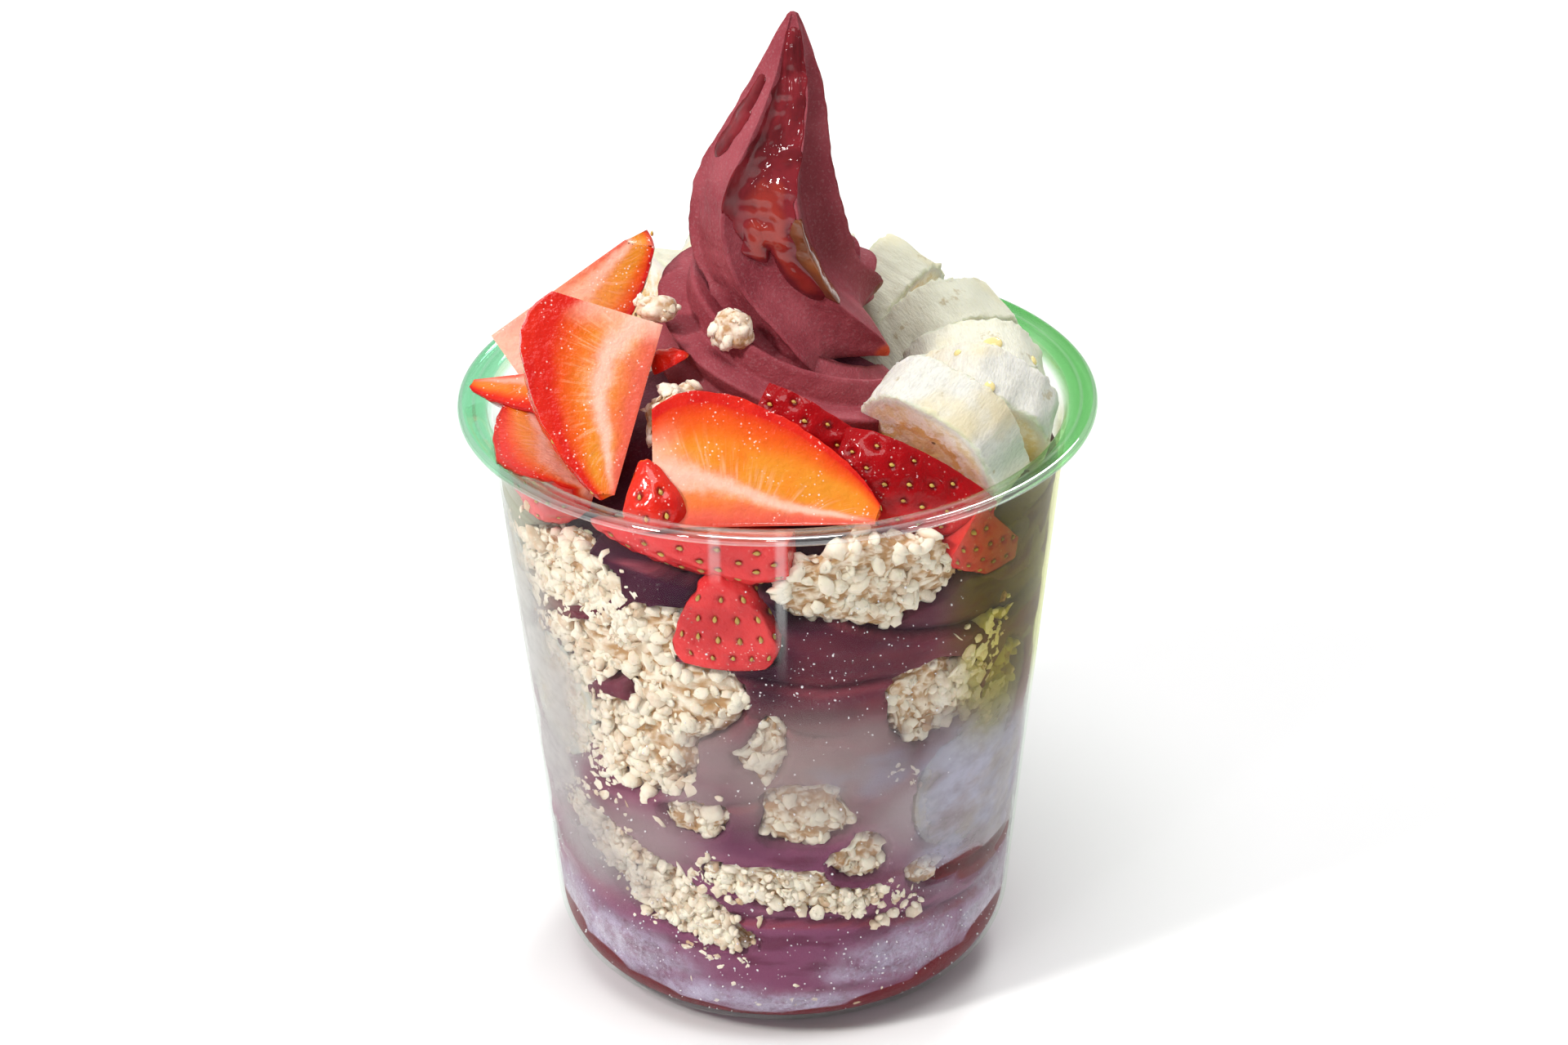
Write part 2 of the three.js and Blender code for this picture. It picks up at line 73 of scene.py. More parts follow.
def colour(name, description, value):
    return bpy.props.FloatVectorProperty(
        name=name, description=description, default=value, size=3, min=0, max=1, subtype="COLOR"
    )


class TubSizes(bpy.types.PropertyGroup):
    rim_radius: length("Rim radius", "Outside of the rolled rim", TUB_BOX[1].x / MM)
    height: length("Height", "From the foot to the top of the rim", TUB_BOX[1].z / MM)
    mouth_radius: length("Mouth radius", "Outside of the wall, just under the rim", 44.6)
    knee_radius: length("Knee radius", "Outside of the wall, where it turns in to the foot", 36)
    knee_round: length("Knee round", "Radius of the turn from wall to foot", 11.6)
    foot_inner: length("Foot inner radius", "Where the foot's flat ring begins", 17)
    foot_rise: length("Foot rise", "How far the middle of the foot is pushed up", 1)
    wall: length("Wall", "Thickness of the wall", 0.8)
    rim_thickness: length("Rim thickness", "Height of the rolled rim", 1.6)


class FoodSizes(bpy.types.PropertyGroup):
    seed_length: length("Seed length", "Length of a strawberry seed", 1.2)
    seed_spacing: length("Seed spacing", "Distance between strawberry seeds", 3.3)
    banana_radius: length("Banana radius", "Radius of a banana slice", 12.4)
    banana_thickness: length("Banana thickness", "Thickness of a banana slice", 9.4)
    flake_length: length("Flake length", "Length of an oat flake", 3.0)
    clump_size: length("Clump size", "Size of a small clump of oats", 2.3)
    peak_top: length("Peak top", "Height of the soft serve's tip above the foot", 158.2)
    syrup_depth: length("Syrup depth", "Thickness of the syrup on the soft serve", 1.05)


class FoodColours(bpy.types.PropertyGroup):
    acai: colour("Acai", "Soft serve", (0.325, 0.052, 0.070))
    acai_deep: colour("Acai, deep", "Soft serve pressed on the wall", (0.165, 0.030, 0.056))
    frost: colour("Frost", "Frost on the inside of the tub", (0.60, 0.53, 0.71))
    syrup: colour("Syrup", "Red syrup on the soft serve", (0.21, 0.017, 0.024))
    amber: colour("Honey", "Honey drops and runs", (0.17, 0.050, 0.020))
    skin: colour("Strawberry skin", "Skin of the strawberries", (0.37, 0.003, 0.006))
    flesh: colour("Strawberry flesh", "Cut flesh of the strawberries", (0.87, 0.165, 0.010))
    core: colour("Strawberry core", "Pale core of the strawberries", (0.93, 0.52, 0.40))
    banana: colour("Banana", "Peeled side of the banana", (0.72, 0.71, 0.65))
    banana_cut: colour("Banana cut", "Cut face of the banana", (0.92, 0.77, 0.47))
    oat: colour("Oats", "Pale oats", (0.92, 0.79, 0.63))
    toasted: colour("Toasted oats", "Toasted edges and the middle of a cluster", (0.50, 0.28, 0.125))
    tub_tint: colour("Tub tint", "Tint of the tub's thick plastic", (0.26, 0.70, 0.42))


# ---- small tools ----


def deselect():
    if bpy.context.object and bpy.context.object.mode != "OBJECT":
        bpy.ops.object.mode_set(mode="OBJECT")
    bpy.ops.object.select_all(action="DESELECT")


def activate(piece):
    deselect()
    piece.select_set(True)
    bpy.context.view_layer.objects.active = piece


def edited(piece, *steps):
    """Runs edit-mode steps, each (operator, settings), on all of a piece."""
    activate(piece)
    bpy.ops.object.mode_set(mode="EDIT")
    bpy.ops.mesh.select_all(action="SELECT")
    for operator, settings in steps:
        operator(**settings)
    bpy.ops.object.mode_set(mode="OBJECT")


OUTWARDS = (bpy.ops.mesh.normals_make_consistent, {"inside": False})


def tidy_mesh(piece, merge=0.00001):
    """Merges doubled points and turns every face outwards."""
    edited(piece, (bpy.ops.mesh.remove_doubles, {"threshold": merge}), OUTWARDS)


def modify(piece, kind, **settings):
    """Adds a modifier and applies it."""
    activate(piece)
    modifier = piece.modifiers.new(kind.title(), kind)
    for name, value in settings.items():
        setattr(modifier, name, value)
    bpy.ops.object.modifier_apply(modifier=modifier.name)


def get_points(piece, what="co"):
    """A piece's points, or their normals."""
    points = np.empty(len(piece.data.vertices) * 3)
    piece.data.vertices.foreach_get(what, points)
    return points.reshape(-1, 3)


def set_points(piece, points):
    piece.data.vertices.foreach_set("co", np.asarray(points, dtype=np.float32).ravel())
    piece.data.update()


def mesh_piece(name, points, faces, smooth=True):
    """A new piece from points in millimetres and faces."""
    mesh = bpy.data.meshes.new(name)
    mesh.from_pydata((np.asarray(points) * MM).tolist(), [], faces)
    mesh.update()
    piece = bpy.data.objects.new(name, mesh)
    bpy.context.scene.collection.objects.link(piece)
    if smooth:
        mesh.shade_smooth()
    return piece


def ball_form(add, **settings):
    """The points and faces of a ball, 1 across."""
    deselect()
    add(radius=0.5, **settings)
    ball = bpy.context.object
    form = get_points(ball), [tuple(polygon.vertices) for polygon in ball.data.polygons]
    bpy.data.objects.remove(ball)
    return form


def search_tree(pieces):
    """The faces of some pieces, in millimetres, as one tree that can be searched by rays."""
    points, faces = [], []
    for piece in pieces:
        faces += [[i + len(points) for i in polygon.vertices] for polygon in piece.data.polygons]
        points += [vertex.co / MM for vertex in piece.data.vertices]
    return BVHTree.FromPolygons(points, faces)


def store(piece, name, values):
    """Keeps one number, or three, for each point of a piece, for its material to read."""
    values = np.asarray(values, dtype=np.float32)
    kind, field = ("FLOAT", "value") if values.ndim == 1 else ("FLOAT_VECTOR", "vector")
    old = piece.data.attributes.get(name)
    if old:
        piece.data.attributes.remove(old)
    piece.data.attributes.new(name, kind, "POINT").data.foreach_set(field, values.ravel())


def finish(piece, material, slot, *nodes):
    """Gives a piece its material, says what it rides on and hides the nodes that it replaces; the slot is not used."""
    piece.data.materials.clear()
    piece.data.materials.append(material)
    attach(piece, "root")
    if nodes:
        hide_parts(*nodes)
    return piece


def along(stations, at):
    """A value read from stations [at, value], on a smooth curve through them."""
    xs, ys = (np.array(column, dtype=float) for column in zip(*stations))
    slopes = np.gradient(ys, xs)
    at = np.clip(np.asarray(at, dtype=float), xs[0], xs[-1])
    i = np.clip(np.searchsorted(xs, at, side="right") - 1, 0, len(xs) - 2)
    step = xs[i + 1] - xs[i]
    t = (at - xs[i]) / step
    return (
        (1 + 2 * t) * (1 - t) ** 2 * ys[i]
        + t * (1 - t) ** 2 * step * slopes[i]
        + t * t * (3 - 2 * t) * ys[i + 1]
        + t * t * (t - 1) * step * slopes[i + 1]
    )


def smooth_step(low, high, value):
    t = np.clip((value - low) / (high - low), 0, 1)
    return t * t * (3 - 2 * t)


def waves(points, size, seed, layers=4):
    """Smooth noise from -1 to 1, made of crossing waves of about that size, for points of any number of axes."""
    random = np.random.default_rng(seed)
    points = np.asarray(points, dtype=float)
    total = np.zeros(points.shape[:-1])
    for layer in range(layers):
        for _ in range(6):
            direction = random.normal(size=points.shape[-1])
            direction *= 2 * math.pi / (size * 0.6**layer * np.linalg.norm(direction))
            total += np.sin(points @ direction + random.uniform(0, 2 * math.pi)) * 0.7**layer
    return total / 6


def towards(turn, radius, height):
    """Points in millimetres at turns in degrees, from the front towards the right."""
    angle = np.asarray(turn) * DEGREE
    return np.stack(np.broadcast_arrays(radius * np.sin(angle), -radius * np.cos(angle), height), axis=-1)


def band_faces(low, high, columns):
    """The faces between two rings of points, given the number of each ring's first point."""
    across = np.arange(columns)
    after = (across + 1) % columns
    return np.stack([low + across, low + after, high + after, high + across], axis=1).tolist()


def wrapped_grid(name, points):
    """A round skin from rows of points in millimetres. The first and last rows meet in one point each."""
    rows, columns = points.shape[:2]
    flat = points[1:-1].reshape(-1, 3)
    first, last = len(flat), len(flat) + 1
    flat = np.vstack([flat, points[0].mean(0), points[-1].mean(0)])
    across = np.arange(columns)
    after = (across + 1) % columns
    faces = []
    for row in range(rows - 3):
        faces += band_faces(row * columns, (row + 1) * columns, columns)
    last_row = (rows - 3) * columns
    faces += [[first, after[i], across[i]] for i in range(columns)]
    faces += [[last, last_row + across[i], last_row + after[i]] for i in range(columns)]
    return mesh_piece(name, flat, faces)


# ---- materials ----


class Finish:
    """A material and the nodes that make its look."""

    def __init__(self, name, **sockets):
        self.material = bpy.data.materials.new(name)
        self.material.use_nodes = True
        self.nodes = self.material.node_tree.nodes
        self.shader = self.nodes["Principled BSDF"]
        self.output = self.nodes["Material Output"]
        self.tone = None
        self.set(self.shader, **sockets)

    def set(self, node, **sockets):
        for name, value in sockets.items():
            self.put(node.inputs[name.replace("_", " ")], value)

    def put(self, socket, value):
        if isinstance(value, bpy.types.NodeSocket):
            self.material.node_tree.links.new(value, socket)
        elif socket.type == "RGBA":
            socket.default_value = (*value[:3], 1)
        else:
            socket.default_value = value

    def wear(self, **sockets):
        """Sets sockets of the shader."""
        self.set(self.shader, **sockets)

    def node(self, kind, settings=None, **sockets):
        node = self.nodes.new("ShaderNode" + kind)
        for name, value in (settings or {}).items():
            setattr(node, name, value)
        self.set(node, **sockets)
        return node

    def place(self):
        return self.node("TexCoord").outputs["Object"]

    def stored(self, name, part="Fac"):
        return self.node("Attribute", {"attribute_name": name}).outputs[part]

    def parts(self, vector):
        return self.node("SeparateXYZ", Vector=vector).outputs

    def scaled(self, vector, scale):
        return self.node("Mapping", Vector=vector, Scale=scale).outputs["Vector"]

    def noise(self, scale, detail=3.0, roughness=0.5, vector=None):
        node = self.node("TexNoise", Scale=scale, Detail=detail, Roughness=roughness)
        self.put(node.inputs["Vector"], vector or self.place())
        return node.outputs["Fac"]

    def cells(self, scale, vector=None, part="Distance", feature="F1"):
        node = self.node("TexVoronoi", {"feature": feature}, Scale=scale)
        self.put(node.inputs["Vector"], vector or self.place())
        return node.outputs[part]

    def math(self, operation, a, b=0.0, c=0.0, clamp=False):
        node = self.node("Math", {"operation": operation, "use_clamp": clamp})
        for socket, value in zip(node.inputs, (a, b, c)):
            self.put(socket, value)
        return node.outputs[0]

    def chain(self, operation, total, *others):
        for other in others:
            total = self.math(operation, total, other)
        return total

    def times(self, *values):
        return self.chain("MULTIPLY", *values)

    def plus(self, *values):
        return self.chain("ADD", *values)

    def most(self, *values):
        return self.chain("MAXIMUM", *values)

    def minus(self, a, b):
        return self.math("SUBTRACT", a, b)

    def rest(self, value):
        """What is left of 1."""
        return self.minus(1.0, value)

    def apart(self, a, b):
        return self.math("ABSOLUTE", self.minus(a, b))

    def between(self, value, low, high):
        """0 below low, 1 above high and a smooth step between."""
        node = self.node("MapRange", {"interpolation_type": "SMOOTHSTEP"}, Value=value)
        self.put(node.inputs["From Min"], low)
        self.put(node.inputs["From Max"], high)
        return node.outputs["Result"]

    def cloud(self, low, high, *noise):
        """Soft patches of noise: 0 below low and 1 above high."""
        return self.between(self.noise(*noise), low, high)

    def line(self, value, place, edge, core):
        """A soft line: 1 within core of a place and 0 beyond edge."""
        return self.between(self.apart(value, place), edge, core)

    def away(self, x, y):
        """How far from the middle a place is, across two axes."""
        flat = self.node("CombineXYZ", X=x, Y=y).outputs[0]
        return self.node("VectorMath", {"operation": "LENGTH"}, Vector=flat).outputs["Value"]

    def over(self, tone, paint, *shares):
        """A tone painted over by the product of the shares."""
        return self.mix(self.times(*shares), tone, paint)

    def paint(self, paint, *shares):
        """Paints over the tone that the look has so far."""
        self.tone = self.over(self.tone, paint, *shares)

    def mix(self, factor, a, b):
        node = self.node("Mix", {"data_type": "RGBA"})
        self.put(node.inputs[0], factor)
        self.put(node.inputs[6], a)
        self.put(node.inputs[7], b)
        return node.outputs[2]

    def relief(self, height, distance, strength=1.0, normal=None):
        node = self.node("Bump", Height=height, Distance=distance, Strength=strength)
        if normal:
            self.put(node.inputs["Normal"], normal)
        return node.outputs["Normal"]


def lighter(value, share):
    return tuple(part + (1 - part) * share for part in value)


def darker(value, share):
    return tuple(part * (1 - share) for part in value)


# ---- the tub ----


class Tub:
    """The tub's form in millimetres."""

    def __init__(self, sizes):
        for name in TubSizes.__annotations__:
            setattr(self, name, getattr(sizes, name) / MM)
        self.wall_top = self.height - self.rim_thickness
        self.foot_outer = self.knee_radius - self.knee_round

    def inner(self, height):
        """Inside radius at a height."""
        height = np.asarray(height, dtype=float)
        share = (height - self.knee_round) / (self.wall_top - self.knee_round)
        straight = self.knee_radius + (self.mouth_radius - self.knee_radius) * share - self.wall
        round_ = self.knee_round - self.wall
        drop = np.clip((self.knee_round - height) / round_, 0, 1)
        return np.where(share >= 0, straight, self.foot_outer + round_ * np.sqrt(1 - drop * drop))

    def press(self, points, short=0.0):
        """Keeps points inside the wall: what would cross it lies flat against it."""
        points = np.array(points, dtype=float)
        out = np.hypot(points[..., 0], points[..., 1])
        low = points[..., 2] < self.wall_top + OVER_WALL
        height = np.minimum(points[..., 2], self.wall_top)
        limit = np.where(low, self.inner(np.maximum(height, self.wall + OVER_FLOOR)) - short, np.inf)
        points[..., :2] *= np.minimum(1, limit / np.maximum(out, 1e-6))[..., None]
        return points

    def knee(self, inset, steps):
        turn_in = self.knee_round - inset
        for i in range(steps + 1):
            angle = i / steps * math.pi / 2
            yield self.foot_outer + turn_in * math.sin(angle), self.knee_round - turn_in * math.cos(angle)

    def profile(self):
        """Rings [radius, height] over the tub's whole skin, from under the foot round the rim to the floor."""
        top, rim, mouth, high = self.wall_top, self.rim_radius, self.mouth_radius, self.height
        wall = self.wall
        step = 2.2  # height of the stacking step under the rim
        slope = (mouth - self.knee_radius) / (top - self.knee_round)
        rings = [(0.5, self.foot_rise), (self.foot_inner - 3, self.foot_rise), (self.foot_inner - 1.4, 0.75)]
        rings += [(self.foot_inner - 0.5, 0.1), (self.foot_inner + 0.2, 0), (self.foot_outer - 0.8, 0)]
        rings += list(self.knee(0, 14))
        for share in (0.12, 0.3, 0.5, 0.7, 0.85, 0.94):
            level = self.knee_round + (top - step - self.knee_round) * share
            rings.append((self.knee_radius + slope * (level - self.knee_round), level))
        rings += [(mouth - slope * step, top - step), (mouth - slope * step + 0.12, top - step + 0.25)]
        rings += [(mouth, top - 0.7), (mouth + 0.25, top - 0.2), (mouth + 0.8, top + 0.15), (rim - 2.0, top + 0.5)]
        rings += [(rim - 1.35, top + 0.35), (rim - 0.9, top + 0.05), (rim - 0.45, top + 0.03), (rim - 0.1, top + 0.3)]
        rings += [(rim, top + 0.75), (rim - 0.06, top + 1.15), (rim - 0.35, high - 0.1), (rim - 0.8, high)]
        rings += [(rim - 1.25, high - 0.12), (rim - 1.7, high - 0.34), (mouth + 1.2, high - 0.42)]
        rings += [(mouth + 0.3, high - 0.55), (mouth - 0.25, high - 0.9), (mouth - wall + 0.05, top - 0.5)]
        rings += [(mouth - wall - slope * step + 0.1, top - step + 0.3), (mouth - wall - slope * step, top - step)]
        for share in (0.94, 0.85, 0.7, 0.5, 0.3, 0.12):
            level = self.knee_round + (top - step - self.knee_round) * share
            rings.append((self.knee_radius + slope * (level - self.knee_round) - wall, level))
        rings += list(self.knee(wall, 14))[::-1]
        rings += [(self.foot_inner + 0.6, wall), (self.foot_inner - 0.2, wall + 0.15)]
        rings += [(self.foot_inner - 1.3, self.foot_rise + wall - 0.2), (self.foot_inner - 2.8, self.foot_rise + wall)]
        rings += [(0.5, self.foot_rise + wall)]
        return rings


def ring_form(name, rings, sides):
    """Raises a round form ring by ring: a filled circle is extruded, scaled and moved to each ring in turn."""
    deselect()
    (radius, level), *others = rings
    bpy.ops.mesh.primitive_circle_add(
        vertices=sides, radius=radius * MM, location=(0, 0, level * MM), fill_type="NGON"
    )
    piece = bpy.context.object
    piece.name = piece.data.name = name
    bpy.ops.object.transform_apply(location=True)
    bpy.ops.object.mode_set(mode="EDIT")
    bpy.ops.mesh.select_all(action="SELECT")
    for next_radius, next_level in others:
        bpy.ops.mesh.extrude_region_move(TRANSFORM_OT_translate={"value": (0, 0, (next_level - level) * MM)})
        bpy.ops.transform.resize(value=(next_radius / radius, next_radius / radius, 1))
        radius, level = next_radius, next_level
    bpy.ops.object.mode_set(mode="OBJECT")
    piece.data.shade_smooth()
    return piece


def clear_plastic(tint, name="clear_plastic"):
    look = Finish(name)
    x, y, z = look.parts(look.place())
    side = look.between(look.math("ABSOLUTE", x), 0.024, 0.046)
    back = look.between(y, -0.012, 0.03)
    rim = look.between(z, 0.0925, 0.0955)
    facing = look.node("LayerWeight", Blend=0.5).outputs["Facing"]
    grazing = look.math("POWER", facing, 5.0)
    strong = look.plus(0.8, look.times(look.between(x, 0.0, 0.045), 0.2))
    green = look.times(look.most(side, back), look.times(rim, strong))
    amount = look.math("MAXIMUM", green, look.times(grazing, 0.18), clamp=True)
    tinted = look.mix(look.between(x, 0.0, 0.045), tint, (0.30, 0.66, 0.29))
    olive = look.times(
        look.between(x, 0.024, 0.034),
        look.between(z, 0.044, 0.058),
        look.between(z, 0.094, 0.088),
        look.between(y, 0.010, -0.006),
    )
    clear = look.mix(olive, (0.99, 0.995, 0.99), (0.76, 0.74, 0.38))
    through = look.node("BsdfTransparent")
    look.put(through.inputs["Color"], look.mix(amount, clear, tinted))
    glass = look.node("BsdfGlossy", Roughness=0.04, Color=(1, 1, 1))
    look.put(glass.inputs["Normal"], look.relief(look.noise(60, 2.0), 0.0004, 0.3))
    # Painted highlights: upright streaks of raised mirror on the wall in front.
    front = look.between(y, 0.0, -0.03)
    streak_1 = look.times(look.line(x, 0.0002, 0.0011, 0.0003), look.between(z, 0.066, 0.084))
    streak_2 = look.times(look.line(x, -0.0095, 0.0012, 0.0004), look.between(z, 0.084, 0.089))
    streaks = look.times(look.most(streak_1, streak_2), look.times(front, 0.10))
    # Painted highlights: thin lines of raised mirror along the rolled edges of the rim.
    reach = look.away(x, y)
    outer = look.line(reach, 0.0486, 0.0005, 0.0002)
    middle = look.line(reach, 0.0465, 0.0004, 0.0001)
    inner = look.line(reach, 0.0442, 0.0006, 0.0002)
    lines = look.plus(look.times(outer, 0.3), look.times(middle, 0.16), look.times(inner, 0.22))
    lines = look.times(lines, look.between(z, 0.0935, 0.0950))
    # The rim's thick plastic reflects a little more, and the painted highlight lines and streaks are added to its
    # mirror.
    thick = look.plus(look.times(rim, 0.05), lines, streaks)
    mirror = look.math("ADD", look.plus(0.005, thick), look.times(grazing, 0.5), clamp=True)
    both = look.node("MixShader")
    look.put(both.inputs[0], mirror)
    look.put(both.inputs[1], through.outputs[0])
    look.put(both.inputs[2], glass.outputs[0])
    look.put(look.output.inputs["Surface"], both.outputs[0])
    return look.material


# ---- soft serve ----

FILL = {"top": 85.4, "coil": 11.7, "groove": 1.9, "first_groove": 18.2, "tilt": 2.2}
# Where coils meet in front, each as stations [turn, height] with its depth.
COIL_EDGES = [
    (2.4, [[-34, 86], [-14, 84.4], [-1, 82.4], [18, 75.3], [44, 70.3], [80, 67]]),
    (1.7, [[-36, 69], [-9, 67.7], [9, 65.4], [24, 65.4], [50, 61]]),
    (1.6, [[-24, 62.5], [-6, 60.6], [6, 57], [16, 56]]),
    (1.5, [[-20, 43], [-9, 44.4], [-2, 45.6], [4, 43]]),
    (1.6, [[-34, 22.5], [-12, 22.9], [10, 22.5], [42, 19], [70, 17.5]]),
    (1.4, [[28, 30], [43, 26.4], [58, 24.4], [84, 25.5]]),
]
FLOOR_GAP = 0.35


def pressed_on_wall(name):
    """Whether a node is pressed on the wall."""
    loose = "crumb" in name or "between" in name
    return not loose and name.startswith(("granola", "banana_wall", "strawberry_wall"))


def recess(rows):
    """How far the soft serve gives way behind what is pressed on the wall, for rows of points near the wall."""
    tree = search_tree(node for name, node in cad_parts.items() if pressed_on_wall(name))
    total = np.zeros(rows.shape[:2])
    for index in np.ndindex(total.shape):
        x, y, height = rows[index]
        reach = math.hypot(x, y)
        if reach < 20:
            continue
        inward = Vector((-x / reach, -y / reach, 0))
        start = Vector((x, y, height)) - inward
        travelled = 0.0
        for _ in range(6):
            place, _normal, _face, away = tree.ray_cast(start, inward, 15 - travelled)
            if place is None:
                break
            travelled += away + 0.01
            start = place + inward * 0.01
            total[index] = travelled - 1.3
    total = (2 * total + np.roll(total, 1, 1) + np.roll(total, -1, 1)) / 4
    return np.clip(total, 0, 14)


def coil_grooves(turn, height, level):
    """How deep the grooves between coils are at places on the wall, and how much painted highlight lies along their
    lower edge.
    """
    turn = (turn + 180) % 360 - 180
    depth, lit = np.zeros(height.shape), np.zeros(height.shape)
    phase = (level - FILL["first_groove"]) / FILL["coil"]
    near = (phase - np.round(phase)) * FILL["coil"]
    broken = 0.55 + 0.45 * np.sin(2.3 * turn * DEGREE + 2.1 * np.round(phase))
    behind = smooth_step(70, 95, np.abs(turn)) * smooth_step(10, 15, level)
    curves = [(near, FILL["groove"] * broken * behind)]
    for deep, stations in COIL_EDGES:
        stations = np.array(stations)
        ends = smooth_step(stations[0, 0] - 4, stations[0, 0] + 8, turn)
        ends = ends * smooth_step(stations[-1, 0] + 4, stations[-1, 0] - 8, turn)
        curves.append((height - along(stations, turn), deep * ends))
    for off, deep in curves:
        sharp = np.where(off > 0, np.exp(-np.maximum(off, 0) / 2.2), np.exp(np.minimum(off, 0) / 0.3))
        depth = np.maximum(depth, deep * sharp)
        lit = np.maximum(lit, np.minimum(deep, 1) * np.exp(-(((off + 0.45) / 0.42) ** 2)))
    return depth, lit


def fill_piece(tub, columns=440):
    """The coils in the tub, pressed against its wall, with a mound on top."""
    floor = tub.foot_rise + tub.wall + FLOOR_GAP
    turn = np.arange(columns) / columns * 360
    touch = 0.12  # how far the fill reaches into the wall
    base = [towards(turn, 0.0, floor)]
    for radius in np.linspace(2, tub.foot_inner - 1.5, 6):
        base.append(towards(turn, radius, floor))
    for radius in np.linspace(tub.foot_inner + 0.8, tub.foot_outer, 4):
        base.append(towards(turn, radius, tub.wall - touch))
    knee = tub.wall + 0.01 + 6 * np.linspace(0.02, 1, 16) ** 2
    rows, grooves, edges = [], [], []
    for level in np.concatenate([knee, np.arange(7.3, FILL["top"], 0.5)]):
        sway = np.sin(turn * DEGREE + 1) * FILL["tilt"] + 0.6 * np.sin(3 * turn * DEGREE + 0.6)
        sway = sway * smooth_step(10, 22, level) * smooth_step(FILL["top"] + 3, FILL["top"] - 8, level)
        height = level + sway
        deep, lit = coil_grooves(turn, height, np.full(columns, level))
        rows.append(towards(turn, tub.inner(height) + touch, height))
        grooves.append(deep)
        edges.append(lit)
    rows = np.array(rows)
    hollow = recess(rows)
    reach = np.hypot(rows[..., 0], rows[..., 1])
    ripple = 0.3 * np.clip(waves(rows, 13, 31, 3), 0, 1) * (rows[..., 2] > 14)
    rows[..., :2] *= ((reach - np.maximum(np.array(grooves) + ripple, hollow)) / reach)[..., None]
    edge = rows[-1]
    mound = []
    for share in np.linspace(0, 1, 44)[1:]:
        climb = along([[0, 0], [0.06, 1.6], [0.14, 2.6], [0.5, 8.6], [1, 13.6]], share)
        ring = edge.copy()
        ring[:, :2] *= 1 - share
        ring[:, 2] = edge[:, 2] * (1 - share) + FILL["top"] * share + climb
        spiral = np.sin((share * 3.2) * 2 * math.pi + turn * DEGREE)
        ring[:, 2] += 0.7 * spiral * math.sin(math.pi * share)
        mound.append(ring)
    piece = wrapped_grid("acai_fill", np.concatenate([base, rows, mound]))
    # Painted highlight just under the coils' edges, kept for the material.
    lit = [np.zeros(columns)] * len(base) + edges + [np.zeros(columns)] * len(mound)
    store(piece, "edge", np.append(np.array(lit)[1:-1].ravel(), [0, 0]))
    # Painted shade in the grooves between coils, kept for the material.
    crease_shades = [np.zeros(columns)] * len(base) + grooves + [np.zeros(columns)] * len(mound)
    store(piece, "crease_shade", np.append(np.array(crease_shades)[1:-1].ravel() / 2.4, [0, 0]))
    return piece


PEAK = {
    "ridges": 6,
    "bottom": 107.5,
    "tip": 157.5,
    "dip": 40,
    "x": [
        [108, 4.4], [112, 3.8], [115, 2.4], [118, 0.4], [122, -0.7],
        [128, -1.3], [135, -1], [140, 0.2], [146, 1.5], [158, 3],
    ],
    "radius": [
        [107.5, 11.5], [108.4, 13.2], [110, 14.3], [113, 14.2], [116, 13.2],
        [119, 12.5], [123, 12.1], [128, 11.4], [135, 9.6], [140, 7.9],
        [145.5, 6.1], [150.5, 4.2], [153.6, 3], [156, 2], [157.6, 1.1],
    ],
    "groove": [[107.5, 0.3], [118, 0.34], [128, 0.36], [140, 0.34], [150, 0.26], [156, 0.1]],
    "ridge_turn": [[108, 8], [112, 0], [117, -18], [123, -30], [130, -35], [140, -29], [150, -22]],
    "slope": [[108, 0.38], [112, 0.34], [118, 0.16], [125, 0]],
}


# How the six hollows between the peak's ridges are cut: how deep, how far the deepest line leans to the next ridge,
# and how tall the lip is on the ridge that they begin with.
HOLLOWS = [(0.95, 0.16, 0.9), (1.12, -0.24, 0.5), (0.85, 0, 0.35), (0.7, 0, 0.3), (0.7, 0, 0.3), (0.34, 0.2, 0.35)]


def peak_section(angle, level):
    """How hollow the peak is at an angle, which is 0 on a ridge, and how tall the lip on the ridge is."""
    sector = 360 / PEAK["ridges"]
    angle = np.mod(angle, 360)
    index = np.minimum((angle // sector).astype(int), PEAK["ridges"] - 1)
    share = angle / sector - index
    deep, lean, lip = np.moveaxis(np.array(HOLLOWS)[index], -1, 0)
    after = np.array(HOLLOWS)[(index + 1) % PEAK["ridges"], 2]
    leaned = share ** (2 ** (-lean * 2.2))
    hollow = np.sin(math.pi * leaned) ** 0.72 * deep
    off_low, off_high = share * sector, (1 - share) * sector
    height = np.maximum(lip * np.exp(-((off_low / 4.5) ** 2)), after * np.exp(-((off_high / 4.5) ** 2)))
    fade = smooth_step(108, 112, level) * (1 - 0.6 * smooth_step(146, 156, level))
    return hollow, height * fade


def peak_point(angle, level, lift=0.0):
    """Points on the drawn-out peak, by degrees from its first ridge and height on its own axis."""
    angle, level = np.broadcast_arrays(np.asarray(angle, dtype=float), np.asarray(level, dtype=float))
    hollow, lip = peak_section(angle, level)
    radius = along(PEAK["radius"], level) * (1 - along(PEAK["groove"], level) * hollow) + lip - 0.35 + lift
    radius = np.maximum(radius, 0.2)
    turn = angle + along(PEAK["ridge_turn"], level)
    dipped = radius * np.cos((turn - PEAK["dip"]) * DEGREE) * along(PEAK["slope"], level)
    points = towards(turn, radius, level - dipped)
    points[..., 0] += along(PEAK["x"], level)
    return points


